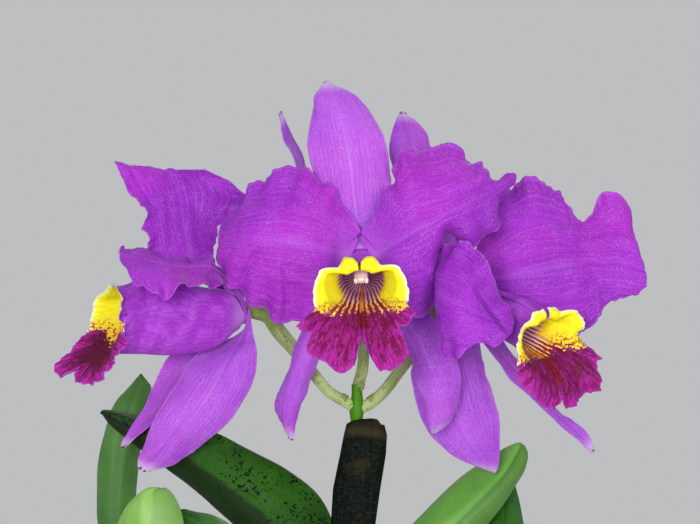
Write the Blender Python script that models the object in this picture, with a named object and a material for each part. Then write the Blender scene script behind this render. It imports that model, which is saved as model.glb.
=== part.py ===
"""Cattleya orchid in flower, in a plain clay pot.

Run with: blender --background --python part.py
Units are metres, +Z is up, and the origin is the centre of the underside of the pot. The plant's
front, where two blooms turn aside and one looks straight out, faces -Y.

Lengths below are in millimetres. A bloom's own points are measured from its centre, the middle of
the knob that its sepals, petals, lip and column grow from. A blade is given by rows from its claw to
its tip, and each row by points across it: one edge, the midrib, the other edge.
"""

import math
import random

import bmesh
import bpy
import numpy as np

MM = 0.001
GAP = 0.3

# Pot and what fills it
POT_HEIGHT = 115.0
POT_RIM_RADIUS = 76.0
POT_FOOT_RADIUS = 54.0
POT_WALL = 5.0
POT_FLOOR = 8.0
POT_RIM_BAND = 18.0
POT_RIM_PROUD = 3.0
POT_EDGE = 2.0
POT_SIDES = 40
DRAIN_COUNT = 3
DRAIN_RADIUS = 5.0
DRAIN_RING = 30.0
BARK_TOP = 103.0
CHIP_COUNT = 56
CHIP_SEED = 11
CHIP_TRIES = 6000
CHIP_HALF = ((4.5, 7.5), (3.5, 5.5), (2.2, 4.2))
CHIP_TILT = 0.35
CHIP_EDGE = 8.0
CHIP_APART = 7.5
CHIP_OFF_RHIZOME = 14.0
CHIP_OFF_ROOT = 10.5

# Rhizome, roots and pseudobulbs
RHIZOME_RADIUS = 5.0
ROOT_RADIUS = 2.0
RHIZOME_AXIS = BARK_TOP + GAP + RHIZOME_RADIUS
BULB_FOOT = RHIZOME_AXIS + RHIZOME_RADIUS + GAP

# Blades
TEPAL_THICK = 0.9
LIP_THICK = 0.9
LEAF_THICK = 2.0
KNOB_RADIUS = 4.8
CLAW = [(KNOB_RADIUS + 0.4, 6.0), (KNOB_RADIUS + 2.9, 9.5)]
KNOB_RINGS = (-60, -25, 0, 30, 62)
KNOB_FRONT = KNOB_RADIUS * math.sin(math.radians(KNOB_RINGS[-1]))

# Flower stalk and its sheath
STALK_RADIUS = 3.1
PEDICEL_RADIUS = 2.9
SHEATH_FOOT = 240.0
SHEATH_TOP = 334.0
TRUNK = [(-2, 20, SHEATH_FOOT), (-1, 20, 270), (1.5, 20, 305), (3, 20, 335), (3.2, 20, 349)]
TRUNK_RINGS = 9
PEDICEL_RINGS = 10
OVARY_START = 0.45
OVARY_SWELL = 0.8

# name: foot on the rhizome (x, y), apex (x, y, z), radius at the fattest place
BULBS = {
    "pseudobulb_1": ((8, 20), (-1, 20, 239.7), 11.5),
    "pseudobulb_2": ((-20, 32), (-14, 46, 226), 11.0),
    "pseudobulb_3": ((-47, 8), (-80, 24, 212), 10.5),
    "pseudobulb_4": ((-46, -26), (-66, -44, 184), 10.0),
    "pseudobulb_5": ((-18, -44), (-34, -60, 176), 9.5),
    "pseudobulb_6": ((38, 8), (58, 20, 196), 10.5),
}

BULB_PROFILE = [(0.0, 0.55), (0.06, 0.62), (0.2, 0.66), (0.4, 0.88), (0.6, 1.0), (0.8, 0.90), (0.93, 0.66),
                (1.0, 0.5)]
BULB_SIDES = 10
BULB_BOW = 0.12
RHIZOME_ORDER = ("pseudobulb_5", "pseudobulb_4", "pseudobulb_3", "pseudobulb_2", "pseudobulb_1",
                 "pseudobulb_6")
RHIZOME_ENDS = (0.35, 0.6)
RHIZOME_RINGS = 20

# Roots over the bark, from the rhizome outwards (x, y)
ROOTS = [
    [(-18, -44), (-2, -50), (14, -48), (30, -42)],
    [(-47, 8), (-54, -2), (-58, -14), (-54, -26)],
    [(-20, 32), (-32, 42), (-40, 46), (-48, 38)],
    [(8, 20), (4, 4), (10, -12), (4, -26), (-8, -34)],
    [(8, 20), (18, 36), (14, 50), (-2, 58)],
    [(38, 8), (34, -8), (42, -20), (38, -34)],
    [(38, 8), (50, 20), (48, 36), (36, 48)],
]
ROOT_RINGS = 9
ROOT_CLIMB = 1.5

# Leaf blades in the plant's own millimetres, one for each pseudobulb
LEAVES = {
    "leaf_1": [
        ((2.5, 27.6, 236.5), (5, 25.1, 236.5), (7.6, 22.2, 236.5)),
        ((9, 36, 252), (17, 30, 250), (24, 34, 244)),
        ((26, 46, 277), (36, 35, 271), (48, 42, 264)),
        ((47, 51, 299), (57, 38, 291), (68, 44, 287)),
        ((64, 53, 311), (72, 43, 306), (79, 47, 302)),
        ((75, 51, 318), (79, 47, 317), (83, 48, 312)),
        ((80, 50, 320), (81, 49.5, 320), (82.5, 49.5, 318)),
    ],
    "leaf_2": [
        ((-16.5, 46, 226.8), (-14, 45, 226.8), (-11.5, 46, 226.8)),
        ((-26, 46, 243), (-14, 40, 248), (-1, 48, 254)),
        ((-47, 42, 274), (-32, 34, 283), (-14, 46, 294)),
        ((-66, 40, 294), (-56, 32, 303), (-43, 42, 315)),
        ((-88, 33, 312), (-80, 27, 320), (-72, 35, 329)),
        ((-106, 30, 326), (-103, 26, 330), (-100, 32, 334)),
        ((-115, 28, 335), (-115, 27, 336), (-114, 29, 337)),
    ],
    "leaf_3": [
        ((-82.5, 24, 212.6), (-80, 23, 212.6), (-77.5, 24, 212.6)),
        ((-103, 28, 240), (-90, 22, 238), (-79, 30, 234)),
        ((-117, 44, 278), (-108, 38, 279), (-99, 46, 276)),
        ((-118, 52, 310), (-109, 46, 311), (-100, 54, 310)),
        ((-113, 56, 334), (-104, 51, 336), (-95, 57, 334)),
        ((-103, 57, 347), (-99, 56, 349), (-94, 57, 345)),
        ((-100, 57, 351), (-99, 56.5, 352), (-98, 57, 351)),
    ],
    "leaf_4": [
        ((-68.5, -44, 184.6), (-66, -45, 184.6), (-63.5, -44, 184.6)),
        ((-86, -40, 208), (-74, -46, 210), (-62, -40, 208)),
        ((-101, -34, 245), (-86, -42, 248), (-71, -34, 246)),
        ((-105, -30, 276), (-89, -38, 278), (-71, -32, 278)),
        ((-100, -30, 294), (-87, -36, 297), (-74, -30, 295)),
        ((-93, -30, 303), (-86, -34, 305), (-78, -30, 304)),
        ((-84, -30, 306), (-82, -31, 306.5), (-80, -30, 306)),
    ],
    "leaf_5": [
        ((-36.5, -60, 176.6), (-34, -61, 176.6), (-31.5, -60, 176.6)),
        ((-51, -62, 200), (-40, -68, 203), (-29, -62, 205)),
        ((-59, -56, 234), (-48, -62, 238), (-35, -54, 240)),
        ((-65, -38, 262), (-55, -44, 267), (-42, -36, 270)),
        ((-72, -22, 283), (-63, -26, 288), (-52, -22, 288)),
        ((-77, -19, 292), (-73, -19, 294), (-68, -19, 294.5)),
        ((-78, -18, 295), (-77.5, -18, 295.5), (-76.5, -18, 295.5)),
    ],
    "leaf_6": [
        ((55.5, 20, 196.6), (58, 19, 196.6), (60.5, 20, 196.6)),
        ((50, 30, 222), (62, 20, 222), (74, 26, 216)),
        ((54, 48, 252), (68, 38, 252), (82, 44, 246)),
        ((59, 62, 280), (72, 54, 280), (83, 58, 275)),
        ((67, 68, 298), (73, 65, 299), (79, 66, 296)),
        ((74, 70, 307), (75, 69, 308), (77, 70, 307)),
    ],
}

# The line that each pedicel follows, from inside the stalk to the back of its bloom
PEDICELS = {
    "bloom_centre": [(3, 20, 346), (6, 24, 358), (6, 31, 374), (5, 32, 390), (5, 22, 402), (5, 8, 405)],
    "bloom_left": [(3.2, 20, 338), (-3, 20, 341.5), (-10, 21, 346), (-17, 24, 354), (-26, 30, 365),
                   (-33, 33, 373), (-38, 30, 380), (-44, 25, 382)],
    "bloom_right": [(3.2, 20, 337.5), (9, 21, 340), (16, 24, 346), (23, 28, 355), (31, 34, 365),
                    (38, 40, 376), (41, 41, 388), (44, 34, 395)],
}

# Each bloom: centre, the way it faces, the way its dorsal sepal points, and its blades
BLOOMS = {
    "bloom_centre": {
        "centre": (5, 0, 405), "facing": (0, -1, 0), "up": (-0.05, 0, 1),
        "lip": {"axis": (-0.02, -1.0, 0.0), "pinch": 0.5},
        "sepal_dorsal": [
            ((-8, 5, 11), (-1, 4, 13), (7, 5, 11)),
            ((-16, 8, 26), (-3, 5, 28), (12, 8, 27)),
            ((-23, 10, 45), (-5, 7, 46), (13, 11, 45)),
            ((-24, 13, 61), (-9, 9, 64), (8, 14, 62)),
            ((-21, 16, 74), (-13, 13, 76), (-1, 17, 75)),
            ((-18, 17, 81), (-16, 17, 83), (-15, 17, 82)),
        ],
        "petal_left": [
            ((-9, -1, -3), (-10, -3, 5), (-4, -1, 13)),
            ((-19, -2, -24), (-16, -8, 6), (-9, 0, 28)),
            ((-35, 2, -27), (-28, -10, 9), (-19, 2, 38)),
            ((-47, 4, -20), (-41, -8, 10), (-32, 6, 44)),
            ((-56, 6, -14), (-52, -4, 11), (-45, 8, 37)),
            ((-61, 8, -7), (-60, 2, 10), (-54, 10, 29)),
            ((-65, 8, 2), (-65, 6, 7), (-64, 10, 16)),
        ],
        "petal_right": [
            ((4, -1, 12), (9, -3, 5), (9, -1, -3)),
            ((9, 1, 26), (16, -9, 9), (18, -2, -24)),
            ((14, 4, 42), (25, -12, 14), (35, 7, -19)),
            ((20, 8, 51), (32, -12, 17), (33, 12, 0)),
            ((31, 8, 52), (38, -12, 21), (36, 12, 14)),
            ((43, 8, 51), (45, -12, 24), (50, -4, 8)),
            ((52, 6, 45), (54, -8, 29), (59, -2, 14)),
            ((60, 2, 38), (63, -4, 34), (63, 2, 28)),
            ((69, 0, 40), (70, 0, 38), (69, 0, 35)),
        ],
        "sepal_left": [
            ((-7, 6, -15), (-10, 4, -13), (-14, 8, -10)),
            ((-14, 8, -31), (-18, 4, -27), (-24, 10, -25)),
            ((-19, 9, -45), (-25, 3, -41), (-30, 10, -40)),
            ((-24, 9, -57), (-30, 4, -53), (-35, 12, -53)),
            ((-28, 9, -68), (-33, 5, -66), (-39, 12, -66)),
            ((-30, 9, -77), (-34, 8, -75), (-36, 11, -75)),
            ((-31, 10, -81), (-32, 10, -81), (-33, 10, -80)),
        ],
        "sepal_right": [
            ((11, 6, -10), (8, 4, -14), (5, 6, -16)),
            ((23, 12, -17), (17, 8, -24), (12, 11, -27)),
            ((34, 12, -27), (25, 5, -33), (18, 9, -34)),
            ((42, 6, -41), (31, 1, -46), (23, 6, -44)),
            ((45, 6, -54), (35, 2, -59), (26, 6, -57)),
            ((44, 6, -65), (36, 4, -69), (29, 6, -69)),
            ((39, 8, -73), (34, 6, -75), (31, 7, -76)),
            ((34, 9, -78), (33, 9, -79), (32, 9, -78)),
        ],
    },
    "bloom_left": {
        "centre": (-49.6, 22, 382.5), "facing": (-0.9, -0.43, -0.05), "up": (0.05, 0.05, 1),
        "lip": {"axis": (-0.90, -0.43, 0.02), "pinch": 0.2},
        "sepal_dorsal": [
            ((9, 18, 18), (12, 8, 19), (11, -2, 18)),
            ((19, 28, 37), (23, 14, 37), (22, 1, 36)),
            ((24, 32, 54), (28, 18, 56), (27, 4, 55)),
            ((24, 32, 71), (27, 20, 70), (24, 8, 69)),
            ((19, 28, 82), (22, 20, 81), (19, 12, 80)),
            ((16, 21, 92), (17, 20, 93), (17, 19, 92)),
        ],
        "petal_left": [
            ((-13, 4, 11), (-12, 5, 14), (-11, 6, 18)),
            ((-36, 0, 18), (-23, 6, 22), (-14, 9, 24)),
            ((-43, -3, 28), (-26, 8, 33), (-13, 10, 33)),
            ((-43, -2, 38), (-28, 10, 43), (-7, 10, 41)),
            ((-46, 2, 49), (-30, 12, 54), (3, 14, 49)),
            ((-53, 4, 57), (-33, 14, 62), (-4, 16, 58)),
            ((-59, 6, 69), (-37, 16, 66), (-18, 18, 66)),
        ],
        "petal_right": [
            ((-8, -2, 19), (-7, -8, 14), (-6, -14, 11)),
            ((-13, -8, 23), (-14, -20, 20), (-13, -32, 11)),
            ((-24, -10, 22), (-25, -28, 20), (-22, -44, 12)),
            ((-37, -14, 25), (-36, -34, 22), (-33, -50, 7)),
            ((-46, -20, 28), (-46, -36, 24), (-43, -50, 13)),
            ((-52, -30, 30), (-53, -38, 26), (-49, -46, 19)),
        ],
        "sepal_right": [
            ((5, -5, -9), (0, -2, -12.5), (-5, 3.5, -12.5)),
            ((7, -7, -19), (-6, -8, -22), (-17, 2, -17)),
            ((5, -7, -33), (-13, -12, -35), (-27, -3, -28)),
            ((-3, -7, -46), (-20, -14, -46), (-35, -8, -41)),
            ((-16, -8, -60), (-30, -14, -57), (-42, -10, -55)),
            ((-30, -9, -69), (-39, -12, -67), (-46, -10, -65)),
            ((-43, -10, -73), (-46, -10, -72), (-47, -10, -70)),
        ],
        "sepal_left": [
            ((-10, 8, -15), (-13, 10, -13), (-17, 13, -10)),
            ((-19, 9, -28), (-26, 11, -25), (-34, 12, -21)),
            ((-31, 4, -39), (-36, 7, -37), (-41, 8, -34)),
            ((-38, -1, -48), (-41, 2, -47), (-45, 3, -44)),
            ((-45, -4, -54), (-48, -2, -54), (-51, -1, -53)),
            ((-51, -6, -60), (-53, -5, -60), (-54, -5, -59)),
            ((-53, -6, -62), (-54, -6, -62), (-55, -6, -61)),
        ],
    },
    "bloom_right": {
        "centre": (48.3, 25, 393), "facing": (0.64, -0.73, -0.245), "up": (-0.1, -0.2, 1),
        "lip": {"axis": (0.65, -0.71, -0.22), "pinch": 0.45},
        "sepal_dorsal": [
            ((-9, 1, 15), (-4, 3, 18), (3, 11, 17)),
            ((-17, 5, 34), (-8, 7, 35), (3, 17, 34)),
            ((-26, 9, 50), (-13, 12, 51), (-2, 23, 50)),
            ((-30, 13, 64), (-18, 17, 64), (-9, 25, 64)),
            ((-28, 19, 75), (-22, 21, 76), (-15, 26, 76)),
            ((-25, 25, 82), (-24, 25, 83), (-22, 25, 82)),
        ],
        "petal_right": [
            ((9, 1, 13), (10, -1, 4), (9, 1, -5)),
            ((12, 5, 27), (17, -3, 5), (16, 1, -13)),
            ((19, 8, 40), (27, -8, 6), (30, 2, -18)),
            ((32, 12, 50), (41, -7, 9), (52, 2, -24)),
            ((49, 14, 46), (55, -3, 11), (62, 2, -19)),
            ((52, 12, 37), (60, -1, 12), (66, 2, -14)),
            ((60, 10, 31), (65, 0, 12), (68, 2, -10)),
            ((69, 10, 44), (75, 2, 12), (75, 2, -5)),
            ((81, 12, 39), (83, 2, 10), (83, 2, -4)),
            ((84, 10, 20), (88, 2, 8), (88, 2, 0)),
        ],
        "petal_left": [
            ((0, -9, 9), (-1, -9, 2), (0, -9, -6)),
            ((-6, -20, 17), (-8, -23, 2), (-6, -22, -13)),
            ((-1, -30, 21), (-10, -35, -1), (-6, -35, -23)),
            ((9, -36, 18), (-3, -46, -5), (-3, -46, -32)),
            ((15, -44, 6), (7, -51, -10), (6, -52, -24)),
            ((18, -52, -7), (16, -55, -14), (15, -54, -25)),
            ((23, -54, -13), (23, -55, -17), (22, -54, -21)),
        ],
        "sepal_left": [
            ((5, 2, -11), (-2, 2, -13), (-8, 1, -12)),
            ((11, 3, -26), (-4, -4, -26), (-16, 0, -26)),
            ((15, 3, -40), (-3, -6, -40), (-20, -2, -40)),
            ((19, 3, -54), (0, -5, -54), (-18, -1, -52)),
            ((21, 5, -66), (4, -1, -65), (-12, 1, -66)),
            ((21, 7, -75), (10, 3, -75), (-3, 3, -76)),
            ((20, 9, -83), (14, 6, -82), (7, 5, -81)),
            ((19, 9, -86), (18, 9, -86), (16, 9, -85)),
        ],
        "sepal_right": [
            ((11, 7, -11), (9, 5, -13), (6, 5, -15)),
            ((22, 13, -24), (19, 9, -27), (16, 5, -29)),
            ((35, 19, -40), (32, 15, -42), (29, 9, -45)),
            ((47, 23, -55), (45, 20, -56), (43, 17, -58)),
            ((58, 25, -64), (56, 23, -66), (54, 21, -68)),
            ((64, 25, -70), (63, 24, -72), (61, 23, -74)),
            ((67, 25, -76), (66, 25, -78), (64, 25, -77)),
        ],
    },
}

# Where each blade's claw meets the knob, in degrees round it, and how far ahead of the middle
CLAWS = {
    "sepal_dorsal": (90, 0.0), "sepal_left": (210, 0.0), "sepal_right": (330, 0.0),
    "petal_left": (150, 1.6), "petal_right": (30, 1.6),
}

# Blade net: cells along and across, and the height and number of the waves in its margin
SEPAL_NET = {"along": 10, "across": 4, "wave": 0.6, "waves": 3}
PETAL_NET = {"along": 14, "across": 8, "wave": 1.8, "waves": 5}
LEAF_NET = {"along": 9, "across": 4, "wave": 0.0, "waves": 0}

# Lip tubes: distance forward, half width, half height, drop, how far round they close (degrees)
LIP_TUBES = {
    "bloom_centre": [(0, 5.5, 5.6, 0, 22), (4, 5.8, 6.2, 0.8, 60), (9, 6.6, 7.0, 3.0, 120),
                     (16, 8.0, 8.2, 5.4, 160), (28, 9.2, 9.0, 6.8, 168), (40, 11.0, 10.2, 8.2, 172),
                     (50, 15.5, 12.5, 9.5, 176)],
    "bloom_left": [(0, 5.4, 5.4, 0, 14), (5, 5.9, 7.2, 1.0, 56), (11, 6.8, 10.5, 4.2, 120),
                   (20, 8.0, 14.0, 4.4, 160), (35, 9.2, 16.0, 3.6, 168), (50, 11.0, 16.5, 3.0, 172),
                   (62, 15.5, 16.5, 3.0, 174)],
    "bloom_right": [(0, 5.5, 5.7, 0, 22), (4.6, 5.8, 6.3, 0.7, 60), (10.4, 6.5, 7.5, 2.4, 120),
                    (18.6, 8.0, 9.2, 4.4, 160), (32.5, 9.2, 9.6, 5.4, 168), (46, 11.0, 10.6, 6.2, 172),
                    (58, 15.5, 12.5, 7.0, 175)],
}
# Lip margins: degrees round from the bottom of the mouth, length beyond the mouth, how far it turns back
LIP_MARGINS = {
    "bloom_centre": [(-165, 6, 160), (-150, 9.5, 165), (-136, 8, 160), (-124, 4, 120), (-108, 4, 90),
                     (-80, 6.5, 85), (-59.5, 9, 85), (-57, 23, 75), (-45, 22, 72), (-40, 30, 72), (-28, 31, 72),
                     (-14, 34, 72), (-6, 30, 72), (-2, 16, 72), (5, 26, 72), (9, 34, 72), (22, 34, 72),
                     (31, 30, 72), (37, 17, 72), (57, 16.5, 75), (59.5, 9, 85), (80, 6.5, 85), (108, 4, 90),
                     (124, 4, 120), (136, 8, 160), (150, 9.5, 165), (165, 6, 160)],
    "bloom_left": [(-165, 5, 100), (-150, 6, 110), (-134, 5, 100), (-118, 5, 70), (-95, 5, 45), (-74, 6, 30),
                   (-62, 9, 15), (-54, 13, 10), (-40, 17, 20), (-26, 26, 20), (-16, 27, 20), (-6, 25, 25),
                   (0, 17, 30), (6, 23, 45), (14, 23, 60), (26, 21, 72), (38, 17, 85), (50, 14.5, 95),
                   (62, 12.5, 110), (70, 7, 105), (84, 6, 90), (108, 5, 85), (124, 5, 100), (150, 6, 110),
                   (165, 5, 100)],
    "bloom_right": [(-165, 6, 140), (-150, 8, 150), (-136, 6, 130), (-120, 5, 95), (-100, 5, 85), (-76, 6, 90),
                    (-60, 9, 100), (-48, 13, 100), (-34, 14, 100), (-15, 18, 95), (-4, 20, 95), (0, 17, 95),
                    (4, 20, 95), (12, 21, 95), (25, 20, 85), (34, 25, 70), (40, 20, 72), (50, 14.5, 78),
                    (56, 18.5, 60), (62, 12, 80), (72, 7, 110), (100, 7, 90), (120, 5, 95), (136, 5, 130),
                    (150, 7, 150), (165, 6, 140)],
}
LIP_ALONG = 6
LIP_FLARE = 5
LIP_WAVE = 1.4
LIP_WAVES = 9
# How far the margin has turned at its start, and how fast it turns
TURN_START = 20.0
TURN_SPEED = 1.25
# Where the mouth is drawn in below the rolled side lobes: from and to, degrees round and share of the tube
PINCH_ROUND = (112.0, 140.0)
PINCH_ALONG = (0.7, 1.0)

# Column: distance forward from the knob, height above the bloom's axis, radius
COLUMN = [(KNOB_FRONT + GAP, -0.6, 2.1), (10, -0.8, 2.4), (18, -1.2, 2.6), (26, -2.4, 3.0), (31, -4.6, 3.2),
          (33, -6.4, 2.4)]
COLUMN_SIDES = 8
COLUMN_NECK = 6.0

# Sheath: height up it (0 to 1), middle across, half width, half thickness
SHEATH = [(0.0, -2.0, 6.0, 5.0), (0.2, -0.5, 8.0, 5.4), (0.47, 1.4, 10.1, 5.6), (0.65, 3.0, 10.8, 5.8),
          (0.83, 6.0, 10.5, 5.7), (0.93, 7.0, 9.9, 5.2), (1.0, 7.0, 8.6, 4.4)]
SHEATH_SIDES = 12
SHEATH_CLEAR = GAP + 0.2

# The waves fade in from the claw and out at the tip, and the two margins beat differently
WAVE_START = 0.25
WAVE_END = 0.08
WAVE_POWER = 2.5
SIDE_BEAT = 1.13
SIDE_SHIFT = 2.1

SMOOTH_ANGLE = 40.0

COLOURS = {
    "petal": (0.36, 0.035, 0.52), "sepal": (0.46, 0.10, 0.70), "lip": (0.45, 0.04, 0.22),
    "column": (0.85, 0.60, 0.75), "stalk": (0.10, 0.27, 0.02), "sheath": (0.012, 0.012, 0.010),
    "leaf": (0.07, 0.23, 0.05), "bulb": (0.10, 0.20, 0.05), "rhizome": (0.10, 0.08, 0.04),
    "bark": (0.12, 0.055, 0.025), "pot": (0.42, 0.17, 0.09),
}


def clear_scene():
    for obj in list(bpy.data.objects):
        bpy.data.objects.remove(obj, do_unlink=True)


def material(name, colour, roughness):
    mat = bpy.data.materials.new(name)
    mat.use_nodes = True
    shader = mat.node_tree.nodes["Principled BSDF"]
    shader.inputs["Base Color"].default_value = (*COLOURS[colour], 1.0)
    shader.inputs["Roughness"].default_value = roughness
    shader.inputs["Metallic"].default_value = 0.0
    return mat


def add_object(name, mesh, colour, roughness):
    mesh.materials.clear()
    mesh.materials.append(material(name, colour, roughness))
    obj = bpy.data.objects.new(name, mesh)
    bpy.context.scene.collection.objects.link(obj)
    return obj


def add_mesh(name, points, faces, colour, roughness=0.5, smooth=True):
    """An object made of points in millimetres, in the world's axes."""
    mesh = bpy.data.meshes.new(name)
    mesh.from_pydata([tuple(float(c) * MM for c in p) for p in points], [], faces)
    if smooth:
        mesh.shade_smooth()
        mesh.set_sharp_from_angle(angle=math.radians(SMOOTH_ANGLE))
    return add_object(name, mesh, colour, roughness)


def outward(obj):
    """Turn every face outwards."""
    mesh = bmesh.new()
    mesh.from_mesh(obj.data)
    bmesh.ops.recalc_face_normals(mesh, faces=mesh.faces)
    mesh.to_mesh(obj.data)
    mesh.free()


def unit(vector):
    vector = np.asarray(vector, float)
    return vector / np.linalg.norm(vector)


def spline(knots, at):
    """Points on the smooth curve through the knots; at runs from 0 to the number of spans."""
    knots = np.asarray(knots, float)
    padded = np.concatenate([2 * knots[:1] - knots[1:2], knots, 2 * knots[-1:] - knots[-2:-1]])
    at = np.asarray(at, float)
    span = np.clip(at.astype(int), 0, len(knots) - 2)
    t = (at - span).reshape(at.shape + (1,) * (knots.ndim - 1))
    a, b, c, d = (padded[span + k] for k in range(4))
    return 0.5 * (2 * b + (c - a) * t + (2 * a - 5 * b + 4 * c - d) * t ** 2
                  + (3 * b - a - 3 * c + d) * t ** 3)


def even_steps(knots, count):
    """Curve positions that cut the line through the knots into even lengths."""
    fine = np.linspace(0, len(knots) - 1, 40 * len(knots))
    line = spline(knots, fine)
    length = np.concatenate([[0], np.cumsum(np.linalg.norm(np.diff(line, axis=0), axis=1))])
    return np.interp(np.linspace(0, length[-1], count), length, fine)


def smooth_path(knots, count):
    return spline(knots, even_steps(knots, count))


def grid_normals(grid):
    normal = np.cross(np.gradient(grid, axis=0), np.gradient(grid, axis=1))
    return normal / np.maximum(np.linalg.norm(normal, axis=2, keepdims=True), 1e-9)


def blade_grid(rows, along, across, wave, waves, phase=0.0):
    """A net of points over the blade that the rows describe, its margins thrown into waves."""
    rows = np.asarray(rows, float)
    lines = spline(rows, even_steps(rows[:, 1], along + 1))
    side = np.linspace(-1, 1, across + 1)[None, :]
    v = side[:, :, None]
    left, rib, right = lines[:, 0, None], lines[:, 1, None], lines[:, 2, None]
    grid = rib + (right - left) / 2 * v + ((left + right) / 2 - rib) * v ** 2
    if not wave:
        return grid
    u = np.linspace(0, 1, along + 1)[:, None]
    turn = 2 * np.pi * waves * u + phase
    shape = np.where(side < 0, np.sin(turn), np.sin(turn * SIDE_BEAT + SIDE_SHIFT))
    fade = np.clip(u / WAVE_START, 0, 1) * np.clip((1 - u) / WAVE_END, 0.25, 1)
    lift = wave * np.abs(side) ** WAVE_POWER * shape * fade
    return grid + grid_normals(grid) * lift[:, :, None]


def blade_faces(rows, cols):
    """Triangles of a closed blade: front net, back net split alike behind it, and the rim."""
    back = rows * cols
    faces = []
    for i in range(rows - 1):
        for j in range(cols - 1):
            a = i * cols + j
            b, c, d = a + cols, a + cols + 1, a + 1
            faces += [(a, b, c), (a, c, d)]
            faces += [(back + a, back + c, back + b), (back + a, back + d, back + c)]
    loop = [i * cols for i in range(rows)]
    loop += [(rows - 1) * cols + j for j in range(1, cols)]
    loop += [i * cols + cols - 1 for i in range(rows - 2, -1, -1)]
    loop += [j for j in range(cols - 2, 0, -1)]
    for p, q in zip(loop, loop[1:] + loop[:1]):
        faces += [(q, p, back + p), (q, back + p, back + q)]
    return faces


def add_blade(name, grid, thickness, colour):
    shift = grid_normals(grid) * thickness / 2
    points = np.concatenate([(grid + shift).reshape(-1, 3), (grid - shift).reshape(-1, 3)])
    return add_mesh(name, points, blade_faces(*grid.shape[:2]), colour, 0.45)


def loft(name, rings, colour, roughness=0.5):
    """A skin over rings of equal count, closed by a fan of faces at each end."""
    count = len(rings[0])
    points = [p for ring in rings for p in ring]
    faces = []
    for k in range((len(rings) - 1) * count):
        a, b = k, k + 1 if (k + 1) % count else k + 1 - count
        faces += [(a, b, b + count), (a, b + count, a + count)]
    foot, top, last = len(points), len(points) + 1, (len(rings) - 1) * count
    points += [np.mean(rings[0], axis=0), np.mean(rings[-1], axis=0)]
    for j in range(count):
        k = (j + 1) % count
        faces += [(foot, k, j), (top, last + j, last + k)]
    obj = add_mesh(name, points, faces, colour, roughness)
    outward(obj)
    return obj


def tube_rings(path, radii, sides):
    """Rings square to a path, turned as little as may be from one to the next."""
    path = np.asarray(path, float)
    tangents = np.gradient(path, axis=0)
    start = (0.0, 1.0, 0.0) if abs(unit(tangents[0])[1]) < 0.9 else (1.0, 0.0, 0.0)
    side = np.cross(tangents[0], start)
    rings = []
    for centre, tangent, radius in zip(path, tangents, radii):
        tangent = unit(tangent)
        side = unit(side - tangent * np.dot(side, tangent))
        other = np.cross(tangent, side)
        turns = [2 * math.pi * k / sides for k in range(sides)]
        rings.append([centre + radius * (math.cos(a) * side + math.sin(a) * other) for a in turns])
    return rings


def union(name, parts, colour, roughness=0.6):
    """One body from several that run into each other."""
    base, others = parts[0], parts[1:]
    group = bpy.data.collections.new(name + "_parts")
    for obj in others:
        group.objects.link(obj)
    join = base.modifiers.new("union", "BOOLEAN")
    join.operation = "UNION"
    join.operand_type = "COLLECTION"
    join.collection = group
    graph = bpy.context.evaluated_depsgraph_get()
    graph.update()
    mesh = bpy.data.meshes.new_from_object(base.evaluated_get(graph))
    for obj in parts:
        bpy.data.objects.remove(obj, do_unlink=True)
    bpy.data.collections.remove(group)
    return add_object(name, mesh, colour, roughness)


def spin(name, profile, sides, colour, roughness):
    """A turned body from a profile of (radius, height) that starts and ends on the axis."""
    mesh = bmesh.new()
    verts = [mesh.verts.new((r * MM, 0, z * MM)) for r, z in profile]
    edges = [mesh.edges.new(pair) for pair in zip(verts, verts[1:])]
    bmesh.ops.spin(mesh, geom=verts + edges, cent=(0, 0, 0), axis=(0, 0, 1), angle=2 * math.pi,
                   steps=sides, use_merge=True)
    bmesh.ops.remove_doubles(mesh, verts=mesh.verts, dist=0.00001)
    bmesh.ops.triangulate(mesh, faces=mesh.faces)
    bmesh.ops.recalc_face_normals(mesh, faces=mesh.faces)
    data = bpy.data.meshes.new(name)
    mesh.to_mesh(data)
    mesh.free()
    data.shade_smooth()
    data.set_sharp_from_angle(angle=math.radians(SMOOTH_ANGLE))
    return add_object(name, data, colour, roughness)


def bloom_axes(bloom):
    """The bloom's own right-hand, upward and forward directions, seen from in front of it."""
    forward = unit(bloom["facing"])
    right = unit(np.cross(bloom["up"], forward))
    return right, np.cross(forward, right), forward


def claw_rows(bloom, part):
    """The first two rows of a blade, where its claw leaves the knob."""
    right, up, forward = bloom_axes(bloom)
    degrees, ahead = CLAWS[part]
    angle = math.radians(degrees)
    out = math.cos(angle) * right + math.sin(angle) * up
    side = math.sin(angle) * right - math.cos(angle) * up
    first = np.array(bloom[part][0], float)
    if np.dot(first[2] - first[0], side) < 0:
        side = -side
    rows = []
    for reach, width in CLAW:
        middle = out * reach + forward * ahead
        rows.append((middle - side * width / 2, middle, middle + side * width / 2))
    return rows


def tepal_grid(bloom, part, net, phase):
    rows = np.concatenate([claw_rows(bloom, part), np.array(bloom[part], float)])
    return np.array(bloom["centre"], float) + blade_grid(rows, phase=phase, **net)


def lip_axes(bloom):
    """Sideways, upward and forward for the lip, whose tube need not point where the bloom does."""
    axis = unit(bloom["lip"]["axis"])
    right = bloom_axes(bloom)[0]
    right = unit(right - axis * np.dot(right, axis))
    return right, np.cross(axis, right), axis


def soft_step(value, low, high):
    t = np.clip((value - low) / (high - low), 0, 1)
    return t * t * (3 - 2 * t)


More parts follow.
